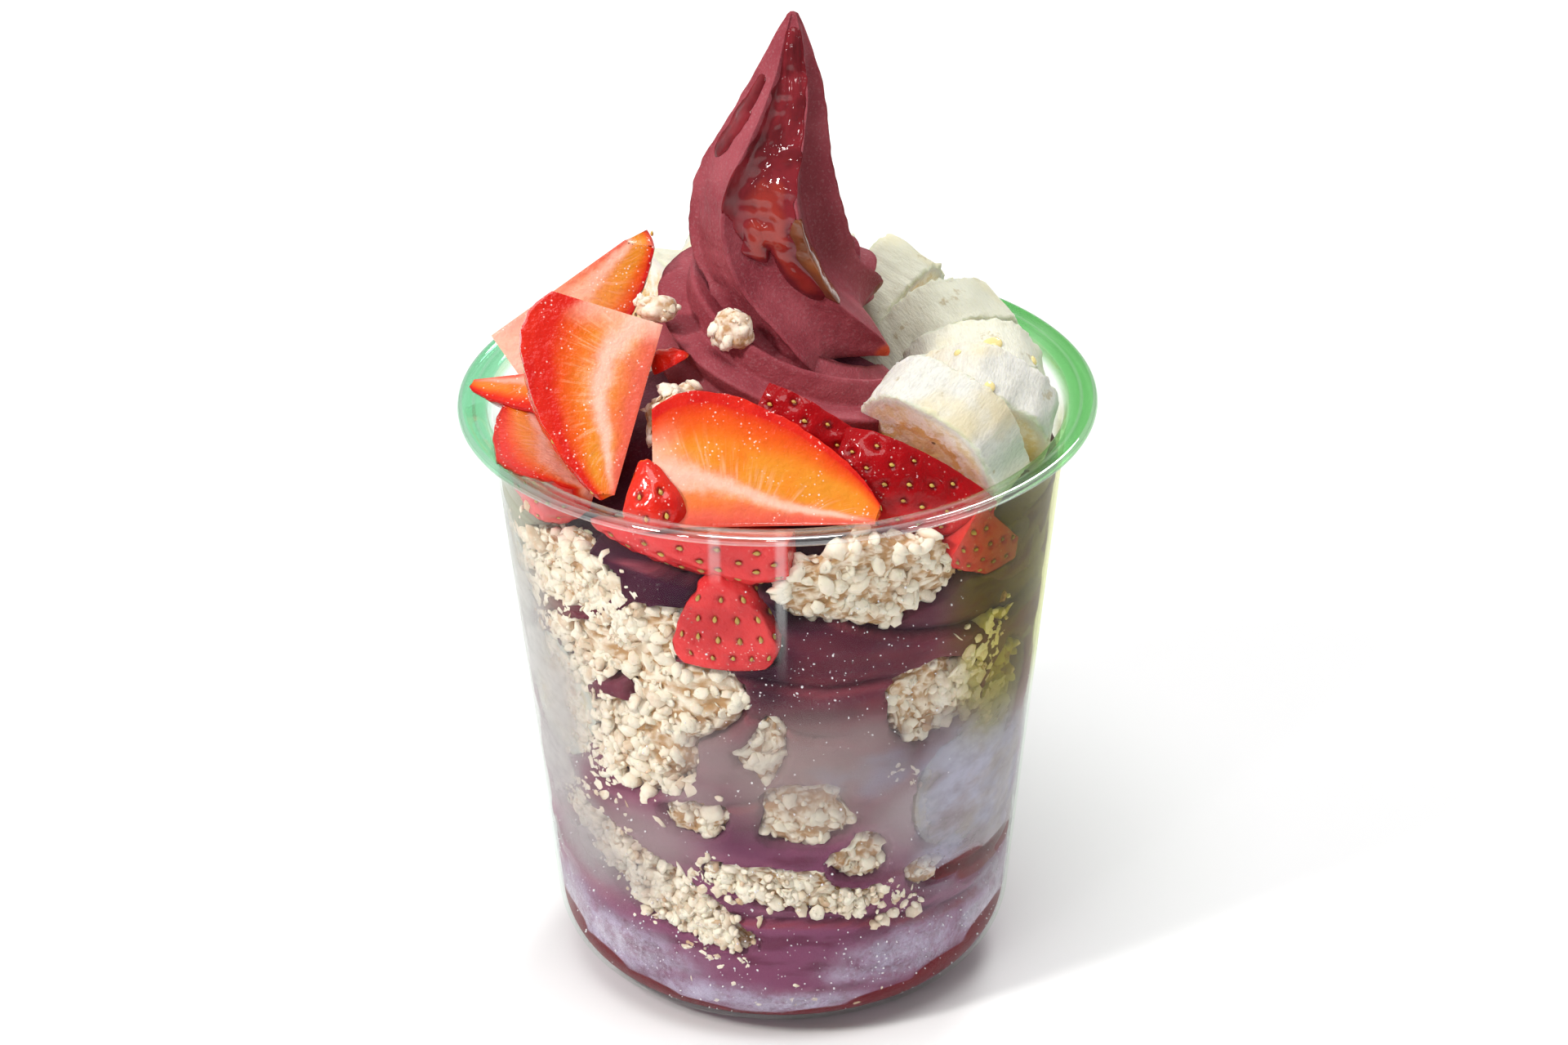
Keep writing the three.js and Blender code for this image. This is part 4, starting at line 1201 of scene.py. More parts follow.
def strawberry_look(colours):
    look = Finish("cut_strawberry", Roughness=0.22, IOR=1.38, Coat_Roughness=0.06)
    look.wear(Subsurface_Weight=0.12, Subsurface_Scale=0.0015, Subsurface_Radius=(1.0, 0.2, 0.1))
    share, edge = look.parts(look.stored("berry", "Vector"))[:2]
    band = look.stored("band")
    height = look.parts(look.place())[2]
    behind = look.between(height, 0.0945, 0.0905)
    wobble = look.times(look.minus(look.noise(170, 4.0, 0.6), 0.5), 0.16)
    out = look.plus(edge, wobble)
    flushed = look.plus(out, look.times(look.minus(look.stored("flush"), 0.4), 0.14))
    ragged = look.plus(band, look.times(look.minus(look.noise(260, 5.0, 0.65), 0.5), 2.2))
    # Pale veins are soft streaks, drawn out along lines that fan out of a place under the band.
    fan = look.math("DIVIDE", look.minus(share, 0.33), look.plus(edge, 0.62))
    lines = look.node("CombineXYZ", X=fan, Y=look.times(edge, 0.045), Z=0.0).outputs[0]
    strength = look.between(out, 0.86, 0.5)
    near = look.times(look.between(band, 5.5, 1.0), look.between(band, 0.0, 0.8))
    veins = look.cloud(0.49, 0.66, 40, 3.0, 0.6, lines)
    veins = look.times(veins, near, strength)
    cloudy = look.cloud(0.3, 0.7, 150, 3.0)
    look.tone = look.mix(cloudy, colours.flesh, darker(colours.flesh, 0.1))
    golden = look.times(look.cloud(0.34, 0.56, 85, 4.0, 0.6), strength)
    look.paint((0.72, 0.27, 0.022), golden, 0.85)
    look.paint((0.70, 0.055, 0.006), look.between(flushed, 0.5, 0.82), 0.9)
    inside = look.between(band, -0.6, -1.5)
    look.paint((0.78, 0.165, 0.035), inside, 0.8)
    look.paint((0.72, 0.11, 0.085), look.between(out, 0.22, 0.04), 0.8)
    look.paint((0.88, 0.42, 0.22), veins, 0.72)
    haze = look.between(look.math("ABSOLUTE", ragged), 1.9, 0.3)
    look.paint((0.84, 0.34, 0.24), haze, 0.36)
    line = look.times(look.between(look.math("ABSOLUTE", ragged), 1.2, 0.1), look.between(share, 0.97, 0.75))
    look.paint(colours.core, line, 0.9)
    top = look.times(
        look.between(share, 0.16, 0.0), look.between(out, 0.9, 0.6), look.between(look.stored("ripe"), 0.35, 0.0)
    )
    look.paint(colours.core, top, 0.6)
    pale = look.times(
        look.between(look.stored("ripe"), 0.0, -1.0), look.between(out, 0.95, 0.6), look.between(share, 0.8, 0.25)
    )
    look.paint(look.mix(look.between(share, 0.1, 0.7), (0.88, 0.54, 0.42), (0.86, 0.32, 0.12)), pale)
    look.paint((0.78, 0.05, 0.008), look.between(share, 0.86, 1.0), 0.75)
    look.paint((0.62, 0.014, 0.006), look.between(flushed, 0.75, 0.9))
    ripe = look.between(look.stored("ripe"), 0.0, 1.0)
    look.paint((0.66, 0.03, 0.014), ripe, 0.6)
    fresh = look.mix(look.cloud(0.35, 0.7, 130, 4.0), (0.56, 0.008, 0.006), (0.68, 0.022, 0.008))
    dark = look.mix(look.cloud(0.35, 0.7, 140, 4.0), darker(colours.skin, 0.25), colours.skin)
    near = look.mix(ripe, fresh, dark)
    far = look.mix(look.cloud(0.35, 0.7, 120, 3.0), (0.80, 0.036, 0.040), (0.58, 0.014, 0.020))
    skin_tone = look.mix(behind, near, far)
    # Painted shade: the skin darkens in and around the seed pits.
    pit_shade = look.times(look.between(look.stored("pit"), 0.1, 0.7), 0.75)
    skin_tone = look.mix(pit_shade, skin_tone, look.mix(behind, darker(colours.skin, 0.6), (0.40, 0.012, 0.012)))
    rough_edge = look.plus(edge, look.times(wobble, 0.35))
    skinned = look.most(look.between(rough_edge, 0.89, 0.925), look.times(behind, 0.95))
    look.paint(skin_tone, skinned)
    # Painted highlights: white specks stand in for juice catching the light.
    specks = look.plus(look.cells(1450), look.times(look.noise(2600, 2.0), 0.3))
    specks = look.between(specks, 0.40, 0.26)
    specks = look.times(specks, look.cloud(0.5, 0.6, 210, 5.0, 0.65), look.minus(0.75, look.times(behind, 0.35)))
    look.paint((0.96, 0.80, 0.72), specks)
    look.wear(Base_Color=look.tone)
    open_air = look.rest(look.times(behind, 0.1))
    open_air = look.times(open_air, look.rest(look.times(ripe, 0.45)))
    look.wear(Coat_Weight=look.times(open_air, 0.5))
    look.wear(Specular_IOR_Level=look.times(open_air, 0.2))
    wrinkles = look.relief(look.noise(430, 3.0, 0.6), 0.0008, 0.6)
    look.wear(Normal=look.relief(look.noise(1000, 4.0, 0.65), 0.00026, 0.4, wrinkles))
    return look.material


def seed_look():
    look = Finish("strawberry_seed", Roughness=0.35, IOR=1.45, Coat_Weight=0.4)
    look.tone = look.mix(look.stored("tone"), (0.62, 0.42, 0.08), (0.42, 0.22, 0.04))
    look.paint((0.55, 0.48, 0.14), look.cloud(0.5, 0.8, 3000, 2.0))
    look.wear(Base_Color=look.tone)
    return look.material


# ---- bananas ----

BANANA_ROW = {
    "from": 53,
    "step": 24,
    "radius": 30.6,
    "lean": 0.42,
    "heights": (96.8, 94.4, 92.8, 93.6, 96.6, 98.2, 97, 96.4),
}
PRESSED_SLICES = {
    "banana_wall_left": (-61, 55, 10.5, 7),
    "banana_wall_left_top": (-80, 72, 10, 7.5),
    "banana_wall_right": (48, 41.5, 10.8, 7.5),
    "banana_wall_back": (152, 58, 11, 8),
}


def slice_rings(radius, thickness):
    """Rings of a banana slice, from the middle of one cut face over the side to the middle of the other."""
    half = thickness / 2
    rim = 0.7
    shares = (0.04, 0.12, 0.2, 0.3, 0.4, 0.5, 0.6, 0.7, 0.78, 0.86, 0.92)
    rings = [(radius * share, -half + 0.12 * (1 - share)) for share in shares]
    rings += [(radius - rim + rim * math.sin(a), -half + rim - rim * math.cos(a)) for a in (0.35, 0.8, 1.2, 1.5)]
    side = []
    for share in np.linspace(0.05, 0.95, 18):
        side.append((radius + 0.05 * math.sin(math.pi * share), -half + rim + (thickness - 2 * rim) * share))
    return rings + side + [(out, -level) for out, level in rings[::-1]]


def banana_piece(name, radius, thickness, place, seed):
    """Turns one slice of peeled banana, makes it five-sided and fibrous, and puts it in place."""
    piece = ring_form(name, slice_rings(radius, thickness), 110)
    tidy_mesh(piece, 0.000001)
    points = get_points(piece) / MM
    angle = np.arctan2(points[:, 1], points[:, 0])
    out = np.hypot(points[:, 0], points[:, 1])
    across = points[:, 0] / radius, points[:, 1] / radius, points[:, 2] / thickness * 2
    store(piece, "slice", np.stack(across, axis=1))
    side = smooth_step(radius * 0.9, radius, out)
    edge = side * smooth_step(0.62, 0.98, np.abs(points[:, 2]) / thickness * 2)
    ring = np.stack([np.cos(angle) * 9, np.sin(angle) * 9], axis=1)
    fibres = waves(np.column_stack([ring * 1.6, points[:, 2] * 0.12]), 2.1, seed, 3)
    push = side * (0.24 * fibres + 0.35 * waves(points, 8, seed + 1, 2)) + edge * 0.5 * waves(points, 1.9, seed + 2, 3)
    factor = 1 + 0.035 * np.cos(5 * angle) + push / radius
    points[:, 0] *= factor
    points[:, 1] *= factor
    on_cut = 0.16 * waves(points, 3.4, seed + 3, 3) * (1 - side) * np.sign(points[:, 2])
    points[:, 2] += on_cut + 0.3 * edge * waves(points, 1.6, seed + 4, 2)
    set_points(piece, place(points) * MM)
    edited(piece, OUTWARDS)
    piece.data.shade_smooth()
    return piece


def banana_look(colours):
    look = Finish("peeled_banana", Roughness=0.45, IOR=1.4, Specular_IOR_Level=0.3)
    look.wear(Subsurface_Weight=0.2, Subsurface_Scale=0.0015, Subsurface_Radius=(1.0, 0.8, 0.45))
    place = look.stored("slice", "Vector")
    x, y, z = look.parts(place)
    out = look.away(x, y)
    turn = look.math("ARCTAN2", y, x)
    rays = look.noise(3.2, 4.0, 0.62, look.scaled(place, (2.2, 2.2, 0.5)))
    cut = look.mix(look.between(rays, 0.36, 0.6), darker(colours.banana_cut, 0.1), lighter(colours.banana_cut, 0.6))
    middle = look.rest(look.between(out, 0.10, 0.58))
    cut = look.over(cut, (0.78, 0.53, 0.18), middle, 0.8)
    wavering = look.plus(out, look.times(look.minus(rays, 0.5), 0.5))
    streak = look.rest(look.between(look.apart(wavering, 0.5), 0.02, 0.1))
    cut = look.over(cut, (0.74, 0.46, 0.13), streak, 0.8)
    seeds = look.rest(look.between(look.cells(7.0, place), 0.14, 0.26))
    petals = look.math("ABSOLUTE", look.math("COSINE", look.times(turn, 1.5)))
    ring = look.times(look.between(out, 0.10, 0.2), look.rest(look.between(out, 0.40, 0.54)))
    seeds = look.times(seeds, look.times(ring, look.between(petals, 0.4, 0.85)))
    cut = look.mix(seeds, cut, (0.12, 0.05, 0.025))
    cut = look.mix(look.between(out, 0.80, 0.95), cut, colours.banana)
    fibres = look.noise(7.0, 4.0, 0.6, look.scaled(place, (5.0, 5.0, 0.7)))
    side = look.mix(look.between(fibres, 0.32, 0.6), darker(colours.banana, 0.16), colours.banana)
    side = look.mix(look.cloud(0.5, 0.75, 90, 4.0, 0.6), side, lighter(colours.banana, 0.4))
    honeyed = look.times(look.cloud(0.52, 0.66, 60, 3.0), 0.6)
    side = look.mix(honeyed, side, (0.70, 0.58, 0.30))
    creamy = look.between(look.parts(look.place())[1], -0.012, 0.012)
    side = look.over(side, (0.72, 0.72, 0.52), creamy, 0.6)
    rim = look.between(look.math("ABSOLUTE", z), 0.86, 1.0)
    side = look.over(side, (0.56, 0.64, 0.42), rim, 0.5)
    grime = look.times(look.cloud(0.62, 0.7, 260, 4.0, 0.65), 0.6)
    side = look.mix(grime, side, (0.42, 0.33, 0.16))
    look.tone = look.mix(look.between(out, 0.93, 0.985), cut, side)
    look.wear(Base_Color=look.tone)
    fine = look.relief(look.noise(900, 4.0, 0.6), 0.00022, 0.4)
    look.wear(Normal=look.relief(fibres, 0.0006, 0.35, fine))
    return look.material


# Honey drops on the slices: a place that each lies behind, seen from the front, and how wide it is.
DROPS = [(32.8, -3.1, 105, 3.4), (31.8, -14.0, 103, 2.2), (39.3, -2.5, 102, 1.7), (27.2, -8.2, 106, 1.6)]
TOWARDS_FRONT = Vector((0, -0.889, 0.458))


def drops_piece(slices):
    """Drops of honey that lie on the banana slices."""
    tree = search_tree(slices)
    shape = ball_form(bpy.ops.mesh.primitive_uv_sphere_add, segments=28, ring_count=16)
    heap = Heap()
    for x, y, height, wide in DROPS:
        start = Vector((x, y, height)) + TOWARDS_FRONT * 60
        place, normal, _face, _away = tree.ray_cast(start, -TOWARDS_FRONT)
        if place is not None:
            turned = basis(np.array(normal), 0.6) * np.array([[1.0], [0.8], [0.42]])
            heap.add(shape, turned, np.array(place), 0, wide)
    piece = heap.piece("honey_drops")
    store(piece, "thick", np.full(len(piece.data.vertices), 1.2))
    return piece


# ---- granola ----


def flake_form(size, seed, columns=8):
    """A rolled oat flake: a thin, curled, creased oval. Points and faces."""
    random = np.random.default_rng(seed)
    wide, curl, phase = random.uniform(0.6, 0.85), random.uniform(-0.6, 0.9), random.uniform(0, 6.3)
    points = []
    for share, side in ((0.5, 1), (1.0, 1), (0.6, -1)):
        for column in range(columns):
            angle = column / columns * 2 * math.pi
            ragged = 1 + 0.10 * math.sin(3 * angle + phase) + 0.07 * math.sin(5 * angle + 2 * phase)
            x = 0.5 * share * ragged * math.cos(angle)
            y = 0.5 * share * ragged * wide * math.sin(angle)
            thick = 0.10 * (1 - share**3) * side - 0.08 * math.exp(-((y / 0.1) ** 2)) * (1 - share)
            points.append((x, y, thick + curl * x * x + 0.6 * curl * y * y))
    points += [(0, 0, 0.02), (0, 0, -0.17)]
    top, under = len(points) - 2, len(points) - 1
    faces = []
    for column in range(columns):
        after = (column + 1) % columns
        inner, outer, low = 0, columns, 2 * columns
        faces.append((top, inner + column, inner + after))
        faces.append((inner + column, outer + column, outer + after, inner + after))
        faces.append((outer + column, low + column, low + after, outer + after))
        faces.append((under, low + after, low + column))
    return np.array(points) * size, faces


def clump_form(size, seed):
    """A small crumpled lump of oats. Points and faces."""
    points, faces = ball_form(bpy.ops.mesh.primitive_uv_sphere_add, segments=7, ring_count=6)
    stretch = np.random.default_rng(seed).uniform(0.5, 1.3, 3)
    crumpled = waves(points, 0.8, seed, 3)
    points = points * stretch * (1 + 0.36 * crumpled)[:, None]
    return points * size, faces


def cracked(points, spacing, random):
    """Splits a surface into lumps: each point's lump, its height (0 in the cracks, 1 on top), its place on the lump."""
    low, high = points.min(0) - spacing / 2, points.max(0) + spacing / 2
    count = int(np.prod(high - low) / spacing**3) + 4
    middles = random.uniform(low, high, (count, 3))
    tree = KDTree(count)
    for i, middle in enumerate(middles):
        tree.insert(middle, i)
    tree.balance()
    lump, apart = np.empty(len(points), dtype=int), np.empty(len(points))
    for i, point in enumerate(points):
        (_, lump[i], near), (_, _, far) = tree.find_n(point, 2)
        apart[i] = far - near
    return lump, np.sqrt(np.clip(apart / (0.8 * spacing), 0, 1)), points - middles[lump]


def settle(points, tub, gap):
    """Moves a lump inwards as a whole until it lies inside the wall."""
    out = np.hypot(points[:, 0], points[:, 1])
    height = np.clip(points[:, 2], tub.wall + OVER_FLOOR, tub.wall_top)
    held = points[:, 2] < tub.wall_top + OVER_WALL
    over = np.max(np.where(held, out - tub.inner(height) + gap, -1))
    if over > 0:
        middle = points.mean(0)
        points = points.copy()
        points[:, :2] -= middle[:2] / max(np.hypot(*middle[:2]), 1) * over
    return points


def surface_spots(piece, spacing, random):
    """Points spread over a piece's faces about that far apart, with their normals, in millimetres."""
    mesh = piece.data
    mesh.calc_loop_triangles()
    points = get_points(piece) / MM
    corners = points[np.array([t.vertices for t in mesh.loop_triangles])]
    normals = np.cross(corners[:, 1] - corners[:, 0], corners[:, 2] - corners[:, 0])
    areas = np.linalg.norm(normals, axis=1) / 2
    count = int(areas.sum() / spacing**2)
    chosen = random.choice(len(areas), size=count, p=areas / areas.sum())
    a, b = random.random(count), random.random(count)
    over = a + b > 1
    a[over], b[over] = 1 - a[over], 1 - b[over]
    spots = corners[chosen, 0] + (corners[chosen, 1] - corners[chosen, 0]) * a[:, None]
    spots += (corners[chosen, 2] - corners[chosen, 0]) * b[:, None]
    return spots, normals[chosen] / np.maximum(np.linalg.norm(normals[chosen], axis=1), 1e-9)[:, None]


def node_copy(node, name):
    """A merged copy of a CAD node's mesh, for a new piece to be built on."""
    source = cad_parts[node]
    piece = bpy.data.objects.new(name, source.data.copy())
    bpy.context.scene.collection.objects.link(piece)
    piece.data.materials.clear()
    tidy_mesh(piece)
    return piece


def granola_core(node, tub, random, small):
    """A cluster's body, broken up into rough lumps that press on the wall."""
    core = node_copy(node, node.replace("granola", "oats") + "_core")
    mesh = core.data
    area = sum(polygon.area for polygon in mesh.polygons) / MM**2
    levels = int(np.clip(round(math.log(area / 0.17 / (3 * len(mesh.polygons)), 4)) + 1, 1, 5))
    modify(core, "SUBSURF", levels=levels, render_levels=levels, subdivision_type="SIMPLE")
    modify(core, "SMOOTH", factor=0.5, iterations=10)
    points = get_points(core) / MM
    normals = get_points(core, "normal")
    reach = np.maximum(np.hypot(points[:, 0], points[:, 1]), 1)
    facing = np.clip((normals[:, :2] * points[:, :2]).sum(1) / reach, 0, 1) * (points[:, 2] < tub.wall_top)
    push = np.full(len(points), -0.05) - 0.15 * facing if small else np.full(len(points), -0.6) - 0.45 * facing
    tone = np.full(len(points), 0.03)
    sizes = ((2.4, 0.8, 0.08), (1.3, 0.15, 0.1)) if small else ((3.2, 1.15, 0.16), (1.5, 0.4, 0.22))
    for spacing, amount, slope in sizes:
        lump, height, off = cracked(points, spacing, random)
        lifts = random.uniform(0.35, 1, lump.max() + 1)
        tilts = random.normal(size=(lump.max() + 1, 3)) * slope
        push += height * (amount * lifts[lump] + (off * tilts[lump]).sum(1))
        # Painted shade: the tone darkens into the cracks between lumps, on top of a random toast for each lump.
        tone += (0.6 if small else 1.0) * (1 - height) ** 3 + 0.3 * random.random(lump.max() + 1)[lump] ** 4
    points += normals * push[:, None]
    set_points(core, tub.press(points, 0.06) * MM)
    store(core, "tone", tone)
    core.data.shade_smooth()
    return core


# What lies on a cluster: kind, spacing, largest scale, how far it rises, how far it leans and how toasted it is.
ON_CLUSTERS = (("clumps", 2.4, 1.45, 0.1, 1.0, 0.08), ("flakes", 2.7, 1.05, 0.35, 0.5, 0.22))


def granola_piece(node, tub, forms, seed):
    """Breaks a cluster up into rough lumps, with oat flakes and crumbs on it that touch the wall."""
    random = np.random.default_rng(seed)
    small = "crumb" in node
    core = granola_core(node, tub, random, small)
    loose = get_points(core)[:, 2].mean() / MM > tub.wall_top
    heap = Heap()
    for kind, spacing, most, rise, lean, toasted in ON_CLUSTERS:
        spots, normals = surface_spots(core, spacing * (1.3 if small else 1), random)
        for spot, normal in zip(spots, normals):
            facing_wall = normal[:2] @ spot[:2] > -0.3 * np.hypot(spot[0], spot[1])
            if not (loose or facing_wall or normal[2] > 0.4):
                continue
            shape = forms[kind][random.integers(6)]
            turned = basis(normal + random.normal(size=3) * lean, random.uniform(0, 6.28))
            scale = random.uniform(0.3, most) ** 1.2 * (0.7 if small else 1)
            place = spot + normal * rise * random.uniform(-0.6, 1.0) * (0.6 if small else 1)
            placed = settle(shape[0] * scale @ turned + place, tub, random.uniform(0.02, 0.3))
            heap.lay(placed, shape[1], np.clip(random.normal(toasted, 0.14), 0, 1))
    if not heap.count:
        return core
    piece = heap.piece(node.replace("granola", "oats"))
    deselect()
    core.select_set(True)
    piece.select_set(True)
    bpy.context.view_layer.objects.active = piece
    bpy.ops.object.join()
    return piece


# Loose crumbs between the soft serve and the wall, scattered along lines: turn and height at both ends, how far they
# stray in millimetres, how many there are and how large they get.
SCATTERED = [
    ((-64, 41), (-12, 17), 4.4, 300, 1.25),
    ((-24, 31), (33, 23.5), 2.8, 160, 1.25),
    ((-66, 80), (-50, 60), 5.5, 190, 1.8),
    ((-62, 60), (-42, 44), 5.0, 190, 1.5),
    ((-44, 83), (-33, 79), 3.4, 34, 1.9),
    ((-38, 77), (-31, 75), 2.4, 16, 1.6),
    ((-47, 78), (-33, 73), 2.6, 60, 1.6),
    ((-44, 66), (-26, 44), 6.5, 60, 1.4),
    ((24, 49), (34, 47), 1.6, 12, 1.1),
    ((40, 58), (54, 68), 4.5, 90, 1.7),
    ((44, 52), (58, 57), 2.5, 50, 1.5),
    ((-26, 10), (24, 8), 2.6, 12, 1.1),
    ((96, 66), (120, 20), 8.0, 70, 1.25),
    ((150, 24), (190, 40), 8.0, 60, 1.25),
    ((-150, 66), (-96, 30), 8.0, 80, 1.25),
]


def scattered_piece(tub, forms):
    """Crumbs and flakes pressed on the wall one by one."""
    random = np.random.default_rng(77)
    heap = Heap()
    for (turn_a, level_a), (turn_b, level_b), stray, count, most in SCATTERED:
        for _ in range(count):
            share = random.random()
            level = level_a + (level_b - level_a) * share + random.normal() * stray * 0.6
            radius = float(tub.inner(level))
            turn = turn_a + (turn_b - turn_a) * share + random.normal() * stray * 0.6 / radius / DEGREE
            shape = forms["clumps" if random.random() < 0.75 else "flakes"][random.integers(6)]
            scale = random.uniform(0.3, most)
            turned = basis(towards(turn, 1, 0) + random.normal(size=3) * 0.6, random.uniform(0, 6.28))
            placed = shape[0] * scale @ turned + towards(turn, radius - 0.2 * scale, level)
            heap.lay(settle(placed, tub, -0.3), shape[1], np.clip(random.normal(0.2, 0.18), 0, 1))
    return heap.piece("oats_scattered")


def granola_look(colours):
    look = Finish("toasted_oats", Roughness=0.8, IOR=1.4)
    look.wear(Subsurface_Weight=0.1, Subsurface_Scale=0.001)
    spread = look.times(look.minus(look.noise(480, 4.0, 0.6), 0.5), 0.9)
    toasted = look.between(look.plus(look.stored("tone"), spread), 0.05, 0.95)
    mixed = look.mix(toasted, lighter(colours.oat, 0.12), colours.toasted)
    mixed = look.over(mixed, lighter(colours.oat, 0.55), look.cloud(0.58, 0.78, 1300, 3.0), 0.6)
    flecks = look.times(look.cloud(0.68, 0.76, 900, 2.0), 0.7)
    mixed = look.mix(flecks, mixed, darker(colours.toasted, 0.4))
    look.wear(Base_Color=mixed)
    fine = look.relief(look.noise(2600, 3.0, 0.6), 0.00010, 0.5)
    look.wear(Normal=look.relief(look.noise(1000, 4.0, 0.6), 0.0003, 0.55, fine))
    return look.material


# ---- operators ----


class ACAI_OT_tub(bpy.types.Operator):
    """Raise the clear tub, ring by ring"""

    bl_idname = "acai_cup.tub"
    bl_label = "Clear Tub"

    def execute(self, context):
        tub = Tub(context.scene.acai_tub)
        piece = ring_form("clear_tub", tub.profile(), 160)
        tidy_mesh(piece, 0.000001)
        piece.data.shade_smooth()
        finish(piece, clear_plastic(context.scene.acai_colours.tub_tint), "cup", "cup")
        return {"FINISHED"}


# Fog and frost on the wall: turn, height, half width in degrees, half height, amount, and 0 for grey fog to 1 for
# lilac frost.
FOG = [
    (6, 51, 20, 9, 0.75, 0.0),
    (-15, 53, 9, 6, 0.55, 0.1),
    (18, 55, 9, 5, 0.6, 0.1),
    (41, 50, 6, 8, 0.6, 0.3),
    (12, 43, 10, 4, 0.5, 0.0),
    (32, 41, 13, 8, 0.9, 0.2),
    (42, 34, 10, 6, 0.95, 0.3),
    (62, 38, 16, 11, 1.0, 0.5),
    (50, 50, 8, 5, 0.8, 0.5),
    (72, 15, 16, 6, 1.0, 0.8),
    (-72, 57, 14, 16, 1.0, 0.3),
    (-66, 43, 12, 11, 0.95, 0.3),
    (-56, 33, 13, 8, 0.7, 0.0),
    (-34, 36, 14, 5, 0.6, 0.1),
    (-20, 46, 8, 4, 0.5, 0.1),
    (-47, 13, 20, 4.2, 0.95, 1.0),
    (-66, 14, 13, 5.5, 1.0, 0.9),
    (-20, 8, 16, 2.6, 0.8, 1.0),
    (0, 7, 20, 2.2, 0.85, 1.0),
    (34, 14, 17, 4.2, 0.8, 1.0),
    (62, 13.5, 14, 4.5, 0.95, 0.9),
    (18, 12.5, 8, 2.2, 0.55, 1.0),
    (100, 30, 26, 18, 0.8, 0.6),
    (150, 20, 30, 12, 0.8, 0.9),
    (-150, 36, 34, 16, 0.8, 0.5),
    (-110, 16, 26, 8, 0.9, 0.9),
]
# Wet red where the soft serve meets the wall: turn, height, half width in degrees, half height, amount.
WET = [
    (-72, 10.5, 10, 2.3, 1),
    (-58, 7.8, 12, 2.3, 1),
    (-42, 5.6, 12, 2.1, 1),
    (-26, 3.9, 12, 1.8, 1),
    (-8, 3.2, 10, 1.2, 0.9),
    (12, 3.7, 12, 1.6, 1),
    (30, 5.5, 12, 2.1, 1),
    (48, 7.6, 12, 2.4, 1),
    (66, 10.1, 12, 2.4, 1),
    (90, 9.4, 16, 2.0, 1),
    (114, 7.4, 16, 1.8, 1),
    (62, 24.0, 13, 2.2, 1),
    (80, 22.8, 12, 1.3, 0.7),
    (46, 26.4, 9, 1.4, 1),
    (150, 6, 40, 1.8, 1),
    (-120, 7, 30, 1.8, 1),
]
# Where the soft serve looks nearly black through the wall: turn, height, half width in degrees, half height, amount.
SHADE = [
    (3, 82, 9, 6, 1.0),
    (-3, 70, 6, 8, 0.9),
    (-18, 80, 8, 4, 0.7),
    (20, 74, 12, 2.4, 0.5),
    (-33, 74, 5, 3, 0.7),
    (6, 61, 12, 1.5, 0.6),
    (28, 52, 6, 6, 0.4),
    (-9, 40, 9, 6, 0.4),
    (-26, 55, 6, 5, 0.3),
]
# Veils of frost over what is pressed on the wall: turn, height, half width in degrees, half height, amount, and 0
# for lilac grey to 1 for white.
VEILS = [
    (48, 41.5, 16, 14, 0.75, 0.35),
    (62, 36, 13, 12, 0.7, 0.75),
    (56, 50, 9, 6, 0.5, 0.8),
    (-61, 54, 13, 12, 0.55, 0.9),
    (-72, 62, 13, 14, 0.62, 1.0),
    (-66, 42, 13, 11, 0.55, 0.8),
    (-80, 72, 14, 9, 0.55, 1.0),
    (-54, 31, 14, 8, 0.4, 0.7),
    (-40, 28, 10, 5, 0.2, 0.7),
    (8, 49, 12, 5, 0.3, 0.6),
    (22, 50, 10, 6, 0.3, 0.6),
]


AMOUNT, KIND = 4, 5  # columns of these lists
WALL_PAINT = {
    "fog": (FOG, AMOUNT),
    "chill": (FOG, KIND),
    "wet": (WET, AMOUNT),
    "shade": (SHADE, AMOUNT),
    "veil": (VEILS, AMOUNT),
    "white": (VEILS, KIND),
}


def wall_paint(piece, spots, column):
    """How much of the spots there is at each point of a piece near the wall, or of what kind they are."""
    points = get_points(piece) / MM
    turn = np.degrees(np.arctan2(points[:, 0], -points[:, 1]))
    out = np.hypot(points[:, 0], points[:, 1])
    total, weights = np.zeros(len(points)), np.full(len(points), 1e-6)
    for spot in spots:
        off = (turn - spot[0] + 180) % 360 - 180
        near = np.exp(-((((off / spot[2]) ** 2 + ((points[:, 2] - spot[1]) / spot[3]) ** 2) / 1.1) ** 1.5))
        if column == AMOUNT:
            total = np.maximum(total, spot[AMOUNT] * near)
        else:
            total, weights = total + spot[column] * near, weights + near
    if column == AMOUNT:
        return total * smooth_step(10, 24, out)
    return total / weights


def paint_wall(piece, *names):
    """Keeps the paint of these names on a piece, for its material to read."""
    for name in names:
        store(piece, name, wall_paint(piece, *WALL_PAINT[name]))


def film_piece(tub, columns=240, rows=96):
    """A thin film of fog and frost, set into the inner side of the tub's wall."""
    turn = np.arange(columns) / columns * 360
    levels = np.linspace(2.4, 84, rows)
    outside = [towards(turn, tub.inner(level) + 0.45, level) for level in levels]
    inside = [towards(turn, tub.inner(level) + 0.38, level) for level in levels]
    rings = outside + inside[::-1]
    points = np.array(rings).reshape(-1, 3)
    faces = []
    for row in range(len(rings)):
        faces += band_faces(row * columns, (row + 1) % len(rings) * columns, columns)
    piece = mesh_piece("frost_film", points, faces)
    edited(piece, OUTWARDS)
    return piece


